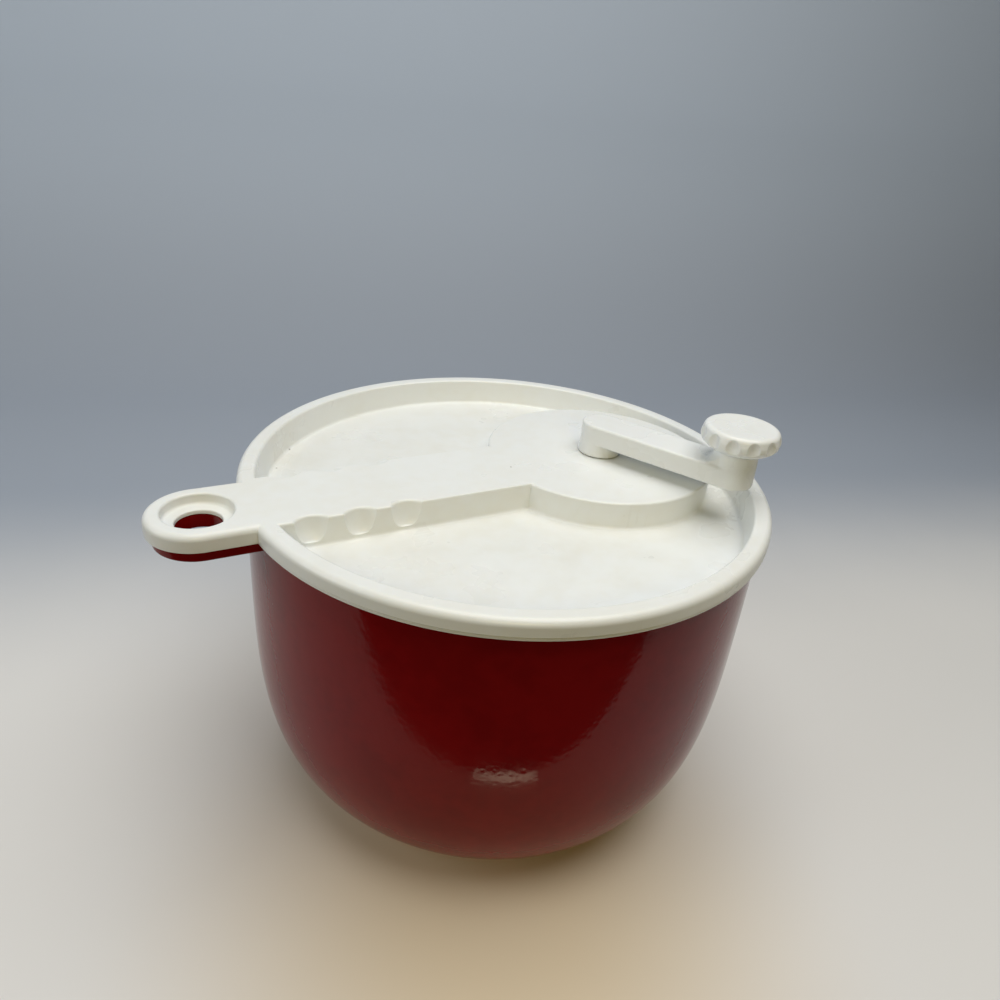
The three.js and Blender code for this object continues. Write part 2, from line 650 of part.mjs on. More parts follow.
// ---------------------------------------------------------------- crank, its shaft and gear
function flangedBush(shaftRadius, flangeBottom, flangeTop, sleeveTop, x = 0) {
  const inner = shaftRadius + SHAFT_GAP;
  const outer = inner + BUSH_WALL;
  return turned([
    [inner, flangeBottom],
    [outer + FLANGE_REACH, flangeBottom],
    [outer + FLANGE_REACH, flangeTop],
    [outer, flangeTop],
    [outer, sleeveTop],
    [inner, sleeveTop],
  ], SMALL, x);
}

add('crank_bush', flangedBush(
  CRANK_SHAFT_RADIUS, zBushFlangeTop - BUSH_FLANGE, zBushFlangeTop, zTop - SEAT_GAP, crankX,
), 'natural');

add('spindle_bush', flangedBush(
  SPINDLE_RADIUS, zCoverBottom - SEAT_GAP - BUSH_FLANGE, zCoverBottom - SEAT_GAP, zSleeveTop,
), 'natural');

const crankHex = 2 * CRANK_SHAFT_RADIUS - HEX_FLATS_CUT;
const spindleHex = 2 * SPINDLE_RADIUS - HEX_FLATS_CUT;
const socketTop = zCrankTop - SOCKET_ROOF;

function crank() {
  const cos = Math.cos(CRANK_ANGLE);
  const sin = Math.sin(CRANK_ANGLE);
  const armGeometry = new THREE.ExtrudeGeometry(slotOutline(0, CRANK_LENGTH, CRANK_RADIUS), {
    depth: CRANK_THICKNESS,
    bevelEnabled: false,
    curveSegments: 16,
  });
  armGeometry.rotateZ(CRANK_ANGLE);
  armGeometry.translate(crankX, 0, zCrankUnder);
  const neck = CRANK_RADIUS - NECK_INSET;
  const filletX = knobX - 2 * NECK_INSET * cos;
  const filletY = knobY - 2 * NECK_INSET * sin;
  const filletTop = zCrankTop + NECK_FILLET;
  const pinHead = KNOB_PIN_RADIUS + PIN_FLANGE + SHAFT_GAP;
  return solid(armGeometry)
    .add(cone(CRANK_RADIUS + HUB_FLARE, CRANK_RADIUS, zCrankFoot, zCrankUnder + OVERRUN, ROUND, crankX))
    .add(cylinder(neck, zCrankUnder, zNeckTop, ROUND, knobX, knobY))
    .add(cone(neck + NECK_FILLET, neck, zCrankTop - SEAT_GAP, filletTop, ROUND, filletX, filletY)
      .intersect(cylinder(CRANK_RADIUS, zCrankUnder, zNeckTop, ROUND, knobX, knobY)))
    .subtract(hexagon(crankHex + 2 * SHAFT_GAP, zCrankFoot - OVERRUN, socketTop, crankX))
    .subtract(cylinder(
      KNOB_PIN_RADIUS + SHAFT_GAP, zCrankUnder - OVERRUN, zNeckTop + OVERRUN, SMALL, knobX, knobY,
    ))
    .subtract(cylinder(pinHead, zCrankUnder - OVERRUN, zCrankUnder + PIN_HEAD, SMALL, knobX, knobY));
}

add('crank', crank(), 'white');

function crankShaft() {
  const shoulder = zGearTop + TURN_GAP / 2;
  const screwHole = cylinder(
    SCREW_RADIUS + SHAFT_GAP, zGearBottom - OVERRUN, zGearBottom + SCREW_LENGTH, FINE, crankX,
  );
  return hexagon(crankHex, zGearBottom + SEAT_GAP, socketTop - SEAT_GAP, crankX)
    .add(cylinder(CRANK_SHAFT_RADIUS, shoulder, zCrankFoot, SMALL, crankX))
    .subtract(screwHole);
}

add('crank_shaft', crankShaft(), 'steel');

function driveGear() {
  const low = zGearBottom;
  const high = low + GEAR_WIDTH;
  const middle = (low + high) / 2;
  const rimInner = gearRadius - DEDENDUM * GEAR_MODULE - GEAR_RIM;
  const hubRadius = CRANK_SHAFT_RADIUS + GEAR_HUB;
  const teeth = prism(gearOutline(GEAR_TEETH, Math.PI), low, high);
  const hollowLow = tube(hubRadius, rimInner, low - OVERRUN, middle - GEAR_WEB / 2, LARGE);
  const hollowHigh = tube(hubRadius, rimInner, middle + GEAR_WEB / 2, high + OVERRUN, LARGE);
  const holes = new THREE.CylinderGeometry(GEAR_HOLE, GEAR_HOLE, GEAR_WIDTH * 2, FINE);
  holes.rotateX(Math.PI / 2);
  holes.translate((hubRadius + rimInner) / 2, 0, middle);
  return teeth
    .subtract(hollowLow)
    .subtract(hollowHigh)
    .subtract(aroundZ(holes, GEAR_HOLES))
    .subtract(hexagon(crankHex + 2 * SHAFT_GAP, low - OVERRUN, high + OVERRUN))
    .translate([crankX, 0, 0]);
}

add('drive_gear', driveGear(), 'natural');

add('gear_washer', tube(
  SCREW_RADIUS + SHAFT_GAP, WASHER_RADIUS,
  zGearBottom - SEAT_GAP - WASHER_THICKNESS, zGearBottom - SEAT_GAP, SMALL, crankX,
), 'steel');

add('gear_screw', screw(
  crankX, 0, zGearBottom - 2 * SEAT_GAP - WASHER_THICKNESS, SCREW_LENGTH,
), 'steel');

// ---------------------------------------------------------------- knob and its pin
const zBarb = zKnobBottom + KNOB_HEIGHT * 0.4;
const barbTop = zBarb + 2 * BARB;

add('knob_pin', turned([
  [0, zCrankUnder + SEAT_GAP],
  [KNOB_PIN_RADIUS + PIN_FLANGE, zCrankUnder + SEAT_GAP],
  [KNOB_PIN_RADIUS + PIN_FLANGE, zCrankUnder + PIN_HEAD - SEAT_GAP],
  [KNOB_PIN_RADIUS, zCrankUnder + PIN_HEAD - SEAT_GAP],
  [KNOB_PIN_RADIUS, zBarb],
  [KNOB_PIN_RADIUS + BARB, zBarb],
  [KNOB_PIN_RADIUS + BARB, zBarb + BARB / 2],
  [KNOB_PIN_RADIUS - BARB, barbTop],
  [0, barbTop],
], SMALL, knobX, knobY), 'natural');

function knob() {
  const middle = zKnobBottom + KNOB_HEIGHT * 0.48;
  const top = zKnobBottom + KNOB_HEIGHT;
  const bore = KNOB_PIN_RADIUS + SHAFT_GAP;
  const pocket = KNOB_PIN_RADIUS + BARB + SHAFT_GAP;
  const body = turned([
    [bore, zKnobBottom],
    [KNOB_RADIUS * 0.8, zKnobBottom],
    [KNOB_RADIUS * 0.94, zKnobBottom + KNOB_HEIGHT * 0.16],
    [KNOB_RADIUS, middle],
    [KNOB_RADIUS * 0.96, zKnobBottom + KNOB_HEIGHT * 0.74],
    [KNOB_RADIUS * 0.84, top],
    [KNOB_RADIUS * 0.72, top],
    [0, top - KNOB_DISH],
    [0, barbTop + TURN_GAP],
    [pocket, barbTop + TURN_GAP],
    [pocket, zBarb - TURN_GAP],
    [bore, zBarb - TURN_GAP],
  ], 3 * KNOB_FLUTES);
  const flute = new THREE.CylinderGeometry(FLUTE_RADIUS, FLUTE_RADIUS, KNOB_HEIGHT * 2, FINE);
  flute.rotateX(Math.PI / 2);
  flute.translate(KNOB_RADIUS + FLUTE_RADIUS - FLUTE_DEPTH, 0, middle);
  return body.subtract(aroundZ(flute, KNOB_FLUTES)).translate([knobX, knobY, 0]);
}

add('knob', knob(), 'white');

// ---------------------------------------------------------------- spindle, pinion and basket driver
function spindle() {
  const bottom = zHubBottom + SEAT_GAP;
  return hexagon(spindleHex, bottom, zSpindleTop)
    .add(cylinder(SPINDLE_RADIUS, zDriverHubTop + TURN_GAP / 2, zPinion - TURN_GAP))
    .add(cylinder(SPINDLE_RADIUS, zGearTop + TURN_GAP / 2, zSpindleTop))
    .subtract(cylinder(SCREW_RADIUS + SHAFT_GAP, bottom - OVERRUN, bottom + SCREW_LENGTH, FINE));
}

add('spindle', spindle(), 'steel');

function pinion() {
  return prism(gearOutline(PINION_TEETH, Math.PI / PINION_TEETH), zPinion, zGearTop)
    .subtract(hexagon(spindleHex + 2 * SHAFT_GAP, zPinion - OVERRUN, zGearTop + OVERRUN));
}

add('pinion', pinion(), 'natural');

function basketDriver() {
  const hubRadius = SPINDLE_RADIUS + DRIVER_HUB;
  const ringInner = driverRadius - DRIVER_RING;
  const flangeInner = driverRadius - BASKET_WALL;
  const lug = radialBox(flangeInner, basketReach - LUG_SHORT, LUG_WIDTH, zDriverBottom, zDriverTop);
  const spoke = radialBox(hubRadius - OVERRUN, ringInner + OVERRUN, SPOKE_WIDTH, zDriverBottom, zDriverTop);
  return tube(ringInner, driverRadius, zDriverBottom, zDriverTop, LARGE)
    .add(tube(flangeInner, driverRadius, zDriverBottom - DRIVER_FLANGE, zDriverTop, LARGE))
    .add(cylinder(hubRadius, zHubBottom, zDriverHubTop))
    .add(aroundZ(spoke, SPOKE_COUNT))
    .add(aroundZ(lug, LUG_COUNT, Math.PI / LUG_COUNT))
    .subtract(hexagon(spindleHex + 2 * SHAFT_GAP, zHubBottom - OVERRUN, zDriverHubTop + OVERRUN));
}

add('basket_driver', basketDriver(), 'white');

add('driver_washer', tube(
  SCREW_RADIUS + SHAFT_GAP, WASHER_RADIUS,
  zHubBottom - SEAT_GAP - WASHER_THICKNESS, zHubBottom - SEAT_GAP,
), 'steel');

add('driver_screw', screw(0, 0, zHubBottom - 2 * SEAT_GAP - WASHER_THICKNESS, SCREW_LENGTH), 'steel');

export default model;
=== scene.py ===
"""A hand-cranked salad spinner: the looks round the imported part.

Every piece is modelled with Blender's own operators at the part's place, sizes in millimetres,
and takes a procedural finish. The parts inside keep their own meshes and get finishes too.
"""
import json
import logging
import math
from dataclasses import dataclass
from enum import Enum
from typing import Any, Callable, Optional, Sequence, Union

import bpy
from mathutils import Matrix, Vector


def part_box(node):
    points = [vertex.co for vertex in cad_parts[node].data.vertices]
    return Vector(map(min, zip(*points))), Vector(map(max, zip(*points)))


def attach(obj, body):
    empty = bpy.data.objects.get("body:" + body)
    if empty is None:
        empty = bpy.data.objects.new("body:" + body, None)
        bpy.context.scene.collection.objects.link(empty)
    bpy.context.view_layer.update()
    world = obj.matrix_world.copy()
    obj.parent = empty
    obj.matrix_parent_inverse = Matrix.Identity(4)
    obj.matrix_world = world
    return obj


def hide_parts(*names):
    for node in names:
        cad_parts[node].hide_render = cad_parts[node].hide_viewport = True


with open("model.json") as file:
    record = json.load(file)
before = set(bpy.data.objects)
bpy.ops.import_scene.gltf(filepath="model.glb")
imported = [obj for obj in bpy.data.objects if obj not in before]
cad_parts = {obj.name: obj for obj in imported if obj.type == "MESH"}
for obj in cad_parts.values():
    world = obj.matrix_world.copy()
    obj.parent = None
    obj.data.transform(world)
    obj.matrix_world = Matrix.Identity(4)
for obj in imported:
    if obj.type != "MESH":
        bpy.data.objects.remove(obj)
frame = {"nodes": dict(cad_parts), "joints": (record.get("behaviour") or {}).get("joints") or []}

MM = 0.001
LOG = logging.getLogger("salad_spinner")

Test = Callable[[Vector], bool]
Colour = tuple[float, float, float]
Pair = tuple[float, float]
Profile = Sequence[Pair]
Socket = bpy.types.NodeSocket
Value = Union[float, Socket]
Paint = Union[Colour, Socket]
Inputs = dict[Union[str, int], Any]


class Slot(Enum):
    """Material slots of the record."""

    WHITE = "white_plastic"
    RED = "red_plastic"
    NYLON = "natural_nylon"
    STEEL = "steel"


# ------------------------------------------------------------------ modelling bench
class Bench:
    """The few moves from which every piece is made. Lengths are millimetres."""

    @staticmethod
    def clear() -> None:
        """Leaves edit mode and deselects everything."""
        if bpy.context.mode != "OBJECT":
            bpy.ops.object.mode_set(mode="OBJECT")
        bpy.ops.object.select_all(action="DESELECT")

    @staticmethod
    def grab(piece: bpy.types.Object) -> None:
        """Makes one object the selected and active one.

        Args:
            piece: The object to work on.
        """
        Bench.clear()
        piece.select_set(True)
        bpy.context.view_layer.objects.active = piece

    @staticmethod
    def settle(name: str) -> bpy.types.Object:
        """Names the active object and moves its place into its mesh.

        Args:
            name: The object's new name.

        Returns:
            The object, at the origin.
        """
        if bpy.context.mode != "OBJECT":
            bpy.ops.object.mode_set(mode="OBJECT")
        bpy.ops.object.transform_apply(location=True, rotation=True, scale=True)
        piece = bpy.context.object
        piece.name = name
        piece.data.name = name
        return piece

    @staticmethod
    def pick(piece: bpy.types.Object, kind: str, test: Test) -> int:
        """Selects vertices or faces by place, and leaves the piece in edit mode.

        Args:
            piece: The object, at the origin.
            kind: "VERT", or "FACE" to test face centres.
            test: Says for a place, in millimetres, whether to select it.

        Returns:
            How many were selected.
        """
        Bench.grab(piece)
        mesh = piece.data
        for part in (mesh.vertices, mesh.edges, mesh.polygons):
            part.foreach_set("select", [False] * len(part))
        count = 0
        for item in mesh.vertices if kind == "VERT" else mesh.polygons:
            place = item.co if kind == "VERT" else item.center
            if test(place / MM):
                item.select = True
                count += 1
        bpy.ops.object.mode_set(mode="EDIT")
        bpy.ops.mesh.select_mode(type=kind)
        return count

    @staticmethod
    def tidy(piece: bpy.types.Object) -> None:
        """Merges doubles and turns the faces outwards.

        Args:
            piece: The object to tidy.
        """
        Bench.grab(piece)
        bpy.ops.object.mode_set(mode="EDIT")
        bpy.ops.mesh.select_mode(type="VERT")
        bpy.ops.mesh.select_all(action="SELECT")
        bpy.ops.mesh.remove_doubles(threshold=2e-6)
        bpy.ops.mesh.normals_make_consistent(inside=False)
        bpy.ops.object.mode_set(mode="OBJECT")

    @staticmethod
    def turned(
        name: str, profile: Profile, around: Pair = (0.0, 0.0), facets: int = 192
    ) -> bpy.types.Object:
        """Turns a closed solid by extruding one ring from point to point of a profile.

        Args:
            name: The solid's name.
            profile: (radius, height) points; it closes on itself unless it ends on the axis.
            around: Where the upright axis stands.
            facets: Facets round the axis.

        Returns:
            The solid.
        """
        x, y = around[0] * MM, around[1] * MM
        rings = [p for p in profile if p[0] > 0]
        if profile[0][0] > 0:
            rings = [*rings, rings[0]]
        radius, height = rings[0]
        Bench.clear()
        bpy.ops.mesh.primitive_circle_add(
            vertices=facets, radius=radius * MM, fill_type="NOTHING", location=(x, y, height * MM)
        )
        bpy.ops.object.mode_set(mode="EDIT")
        bpy.ops.mesh.select_mode(type="VERT")
        bpy.ops.mesh.select_all(action="SELECT")
        for new_radius, new_height in rings[1:]:
            bpy.ops.mesh.extrude_region_move(
                TRANSFORM_OT_translate={"value": (0, 0, (new_height - height) * MM)}
            )
            grow = new_radius / radius
            bpy.ops.transform.resize(value=(grow, grow, 1), center_override=(x, y, new_height * MM))
            radius, height = new_radius, new_height
        if profile[-1][0] <= 0:
            Bench.close_pole(profile[-1][1] - height)
        piece = Bench.settle(name)
        if profile[0][0] <= 0:
            first = rings[0]
            Bench.pick(
                piece,
                "VERT",
                lambda p: abs(p.z - first[1]) < 1e-3
                and abs(math.hypot(p.x - around[0], p.y - around[1]) - first[0]) < 1e-2,
            )
            Bench.close_pole(profile[0][1] - first[1])
            bpy.ops.object.mode_set(mode="OBJECT")
        Bench.tidy(piece)
        return piece

    @staticmethod
    def post(
        name: str, radius: float, low: float, high: float, around: Pair = (0.0, 0.0), facets: int = 48
    ) -> bpy.types.Object:
        """A plain upright post or bore.

        Args:
            name: Its name.
            radius: Its radius.
            low: Height of its foot.
            high: Height of its top.
            around: Where its axis stands.
            facets: Facets round the axis.

        Returns:
            The post.
        """
        return Bench.turned(name, [(0, low), (radius, low), (radius, high), (0, high)], around, facets)

    @staticmethod
    def close_pole(rise: float) -> None:
        """Closes the selected ring with a flat face, or with a point above or below it.

        Args:
            rise: How far the point stands from the ring.
        """
        if abs(rise) < 1e-6:
            bpy.ops.mesh.edge_face_add()
        else:
            bpy.ops.mesh.extrude_region_move(TRANSFORM_OT_translate={"value": (0, 0, rise * MM)})
            bpy.ops.mesh.merge(type="CENTER")

    @staticmethod
    def block(name: str, low: Sequence[float], high: Sequence[float]) -> bpy.types.Object:
        """A box from its two corners.

        Args:
            name: The box's name.
            low: Lowest corner.
            high: Highest corner.

        Returns:
            The box.
        """
        Bench.clear()
        middle = [(a + b) / 2 * MM for a, b in zip(low, high)]
        bpy.ops.mesh.primitive_cube_add(size=1, location=middle)
        bpy.context.object.scale = [(b - a) * MM for a, b in zip(low, high)]
        return Bench.settle(name)

    @staticmethod
    def capsule(
        name: str, ends: Pair, radius: float, low: float, high: float, facets: int = 96
    ) -> bpy.types.Object:
        """An upright plate with straight sides and a round end at two points of the X axis.

        Args:
            name: The plate's name.
            ends: X of the two round ends' centres, the lower first.
            radius: Half the plate's width.
            low: Height of its underside.
            high: Height of its top.
            facets: Facets round both ends together.

        Returns:
            The plate.
        """
        Bench.clear()
        bpy.ops.mesh.primitive_cylinder_add(
            vertices=facets,
            radius=radius * MM,
            depth=(high - low) * MM,
            location=(ends[1] * MM, 0, (low + high) / 2 * MM),
            rotation=(0, 0, math.pi / facets),
        )
        piece = Bench.settle(name)
        Bench.pick(piece, "VERT", lambda p: p.x < ends[1])
        bpy.ops.transform.translate(value=((ends[0] - ends[1]) * MM, 0, 0))
        bpy.ops.object.mode_set(mode="OBJECT")
        return piece

    @staticmethod
    def round_rim(
        piece: bpy.types.Object, height: float, width: float, steps: int = 4, keep: Optional[Test] = None
    ) -> None:
        """Rounds the outline of the level faces at one height.

        Args:
            piece: The object.
            height: Height of the level faces.
            width: Width of the rounding.
            steps: Segments in the rounding.
            keep: Says for an edge's middle whether it is rounded; all are if left out.
        """
        level: Test = lambda p: abs(p.z - height) < 1e-2
        Bench.pick(piece, "FACE", level)
        bpy.ops.mesh.dissolve_limited(angle_limit=5e-4)
        bpy.ops.object.mode_set(mode="OBJECT")
        Bench.pick(piece, "FACE", level)
        bpy.ops.mesh.region_to_loop()
        if keep is not None:
            bpy.ops.object.mode_set(mode="OBJECT")
            mesh = piece.data
            chosen = []
            for edge in mesh.edges:
                middle = (mesh.vertices[edge.vertices[0]].co + mesh.vertices[edge.vertices[1]].co) / 2
                chosen.append(bool(edge.select and keep(middle / MM)))
            for part in (mesh.vertices, mesh.polygons):
                part.foreach_set("select", [False] * len(part))
            mesh.edges.foreach_set("select", chosen)
            bpy.ops.object.mode_set(mode="EDIT")
            bpy.ops.mesh.select_mode(type="EDGE")
        bpy.ops.mesh.bevel(
            offset=width * MM, offset_type="OFFSET", segments=steps, profile=0.5, affect="EDGES",
            clamp_overlap=False,
        )
        bpy.ops.object.mode_set(mode="OBJECT")

    @staticmethod
    def combine(target: bpy.types.Object, how: str, *tools: bpy.types.Object) -> None:
        """Adds or cuts solids and removes the tools.

        Args:
            target: The solid that changes.
            how: "UNION", "DIFFERENCE" or "INTERSECT".
            tools: The solids to use, one after the other.
        """
        for tool in tools:
            Bench.grab(target)
            step = target.modifiers.new("step", "BOOLEAN")
            step.operation = how
            step.solver = "EXACT"
            step.object = tool
            bpy.ops.object.modifier_apply(modifier=step.name)
            bpy.data.objects.remove(tool)

    @staticmethod
    def add(target: bpy.types.Object, *tools: bpy.types.Object) -> None:
        """Joins solids to a target."""
        Bench.combine(target, "UNION", *tools)

    @staticmethod
    def cut(target: bpy.types.Object, *tools: bpy.types.Object) -> None:
        """Cuts solids from a target."""
        Bench.combine(target, "DIFFERENCE", *tools)

    @staticmethod
    def around(
        piece: bpy.types.Object, count: int, start: float = 0.0, centre: Pair = (0.0, 0.0)
    ) -> bpy.types.Object:
        """Copies a solid evenly round an upright axis and joins the copies.

        Args:
            piece: The first solid; it is turned to the start angle.
            count: How many there are in all.
            start: Angle of the first one, in radians.
            centre: Where the axis stands.

        Returns:
            One object that holds them all.
        """
        pivot = (centre[0] * MM, centre[1] * MM, 0.0)
        copies = []
        for index in range(count):
            Bench.grab(piece)
            if index:
                bpy.ops.object.duplicate(linked=False)
            copy = bpy.context.object
            angle = start + index * 2 * math.pi / count
            if index == 0:
                first = copy
                continue
            Bench.turn(copy, angle, pivot)
            copies.append(copy)
        Bench.turn(first, start, pivot)
        Bench.grab(first)
        for copy in copies:
            copy.select_set(True)
        bpy.ops.object.join()
        return Bench.settle(first.name)

    @staticmethod
    def turn(piece: bpy.types.Object, angle: float, pivot: Sequence[float]) -> None:
        """Turns a solid's mesh about an upright axis.

        Args:
            piece: The solid.
            angle: Anticlockwise angle seen from above, in radians.
            pivot: A point on the axis, in metres.
        """
        if not angle:
            return
        Bench.grab(piece)
        bpy.ops.object.mode_set(mode="EDIT")
        bpy.ops.mesh.select_all(action="SELECT")
        bpy.ops.transform.rotate(
            value=-angle, orient_axis="Z", orient_type="GLOBAL", center_override=pivot
        )
        bpy.ops.object.mode_set(mode="OBJECT")

    @staticmethod
    def melt(piece: bpy.types.Object, grain: float, passes: int) -> None:
        """Rounds every crease a little, as moulded plastic is, by a fine remesh.

        Args:
            piece: The object.
            grain: Size of the remesh cells.
            passes: How often the new surface is smoothed.
        """
        Bench.grab(piece)
        remesh = piece.modifiers.new("cells", "REMESH")
        remesh.mode = "VOXEL"
        remesh.voxel_size = grain * MM
        bpy.ops.object.modifier_apply(modifier=remesh.name)
        smooth = piece.modifiers.new("soften", "SMOOTH")
        smooth.factor = 0.5
        smooth.iterations = passes
        bpy.ops.object.modifier_apply(modifier=smooth.name)

    @staticmethod
    def shade(piece: bpy.types.Object, angle: float = 32.0) -> None:
        """Smooth shading that leaves flat faces flat.

        Args:
            piece: The object.
            angle: Edges sharper than this many degrees stay sharp.
        """
        Bench.grab(piece)
        bpy.ops.object.shade_smooth_by_angle(angle=math.radians(angle))
        weigh = piece.modifiers.new("weigh", "WEIGHTED_NORMAL")
        weigh.keep_sharp = True
        weigh.weight = 80
        bpy.ops.object.modifier_apply(modifier=weigh.name)


def arc(r: float, z: float, radius: float, start: float, end: float, steps: int) -> list[Pair]:
    """Profile points on a circle.

    Args:
        r: Radius at which the circle's centre lies.
        z: Height of its centre.
        radius: The circle's radius.
        start: First angle in degrees, 0 outwards and 90 upwards.
        end: Last angle in degrees.
        steps: Number of steps between them.

    Returns:
        (radius, height) points.
    """
    angles = [math.radians(start + (end - start) * i / steps) for i in range(steps + 1)]
    return [(r + radius * math.cos(a), z + radius * math.sin(a)) for a in angles]


def cup(radius: float, belly: float, base: float, floor: float, power: float, steps: int) -> list[Pair]:
    """Profile of a deep cup's wall, a superellipse from its base circle to its belly.

    Args:
        radius: Radius at the belly.
        belly: Height of the belly.
        base: Radius of the base circle.
        floor: Height of the base circle.
        power: Exponent of the curve, 2 for an ellipse.
        steps: Number of steps.

    Returns:
        (radius, height) points, lowest first.
    """
    share = (1 - (base / radius) ** power) ** (1 / power)
    depth = (belly - floor) / share
    points = []
    for i in range(steps + 1):
        t = share * math.cos(i / steps * math.pi / 2)
        points.append((radius * (1 - t**power) ** (1 / power), belly - depth * t))
    return points


# ------------------------------------------------------------------ finishes
class Sketch:
    """Lays out shader nodes and links them."""

    def __init__(self, tree: bpy.types.NodeTree) -> None:
        """Starts on a node tree."""
        self.tree = tree

    @staticmethod
    def blank(name: str) -> tuple[bpy.types.Material, "Sketch", bpy.types.Node]:
        """Makes an empty material that holds one Principled shader.

        Args:
            name: The material's name.

        Returns:
            The material, its sketch and the shader.
        """
        material = bpy.data.materials.new(name)
        material.use_nodes = True
        material.node_tree.nodes.clear()
        sketch = Sketch(material.node_tree)
        shader = sketch.node("ShaderNodeBsdfPrincipled")
        sketch.node("ShaderNodeOutputMaterial", {0: shader.outputs[0]})
        return material, sketch, shader

    def wire(self, node: bpy.types.Node, inputs: Inputs) -> None:
        """Links sockets to a node's inputs, and sets the other values on them.

        Args:
            node: The node.
            inputs: Values or sockets, by the input's name or number.
        """
        for key, value in inputs.items():
            if isinstance(value, bpy.types.NodeSocket):
                self.tree.links.new(value, node.inputs[key])
                continue
            if node.inputs[key].type == "RGBA":
                value = (*value, 1.0)
            node.inputs[key].default_value = value

    def node(self, kind: str, inputs: Optional[Inputs] = None, **settings: Any) -> bpy.types.Node:
        """Adds a node.

        Args:
            kind: The node's type name.
            inputs: Values or sockets for its inputs.
            settings: The node's own properties.

        Returns:
            The node.
        """
        made = self.tree.nodes.new(kind)
        for key, value in settings.items():
            setattr(made, key, value)
        self.wire(made, inputs or {})
        return made

    def place(self) -> Socket:
        """The place on the object, in metres."""
        return self.node("ShaderNodeTexCoord").outputs["Object"]

    def noise(self, place: Socket, scale: Value, detail: float, distortion: float = 0.0) -> Socket:
        """A noise texture's value.

        Args:
            place: Where it is read.
            scale: Waves in a metre.
            detail: How many finer waves it adds.
            distortion: How far it is stirred.

        Returns:
            The value, about 0.5.
        """
        inputs = {"Vector": place, "Scale": scale, "Detail": detail, "Distortion": distortion}
        return self.node("ShaderNodeTexNoise", inputs).outputs[0]

    def effect(self, group: bpy.types.NodeTree, inputs: Optional[Inputs] = None) -> Socket:
        """Places a shared node group and gives its output.

        Args:
            group: The group.
            inputs: This material's own values for it.

        Returns:
            The group's value.
        """
        return self.node("ShaderNodeGroup", inputs, node_tree=group).outputs[0]

    def maths(self, how: str, first: Value, second: Value = 0.0, third: Value = 0.0) -> Socket:
        """One step of arithmetic.

        Args:
            how: The Math node's operation.
            first: Its first value.
            second: Its second value.
            third: Its third value.

        Returns:
            The result.
        """
        return self.node("ShaderNodeMath", {0: first, 1: second, 2: third}, operation=how).outputs[0]

    def times(self, first: Value, second: Value) -> Socket:
        """The product of two values."""
        return self.maths("MULTIPLY", first, second)

    def ramp(
        self, value: Socket, low: float, high: float, out_low: float = 0.0, out_high: float = 1.0
    ) -> Socket:
        """Maps a value smoothly from one range onto another.

        Args:
            value: The value to map.
            low: Value that gives out_low.
            high: Value that gives out_high.
            out_low: Result at and below low.
            out_high: Result at and above high.

        Returns:
            The result.
        """
        inputs = {"Value": value, "From Min": low, "From Max": high, "To Min": out_low, "To Max": out_high}
        return self.node("ShaderNodeMapRange", inputs, interpolation_type="SMOOTHSTEP").outputs["Result"]

    def mix(self, share: Value, first: Paint, second: Paint) -> Socket:
        """Mixes two colours.

        Args:
            share: Share of the second.
            first: The first colour.
            second: The second colour.

        Returns:
            The mixed colour.
        """
        made = self.node("ShaderNodeMix", data_type="RGBA")
        self.wire(made, {0: share, 6: first, 7: second})
        return made.outputs[2]

    def bump(self, shader: bpy.types.Node, height: Socket, depth: float) -> None:
        """Links a height to a shader's normal.

        Args:
            shader: The shader.
            height: The height, 0 to 1.
            depth: What a height of 1 means, in metres.
        """
        node = self.node("ShaderNodeBump", {"Height": height, "Distance": depth, "Strength": 1.0})
        self.wire(shader, {"Normal": node.outputs[0]})


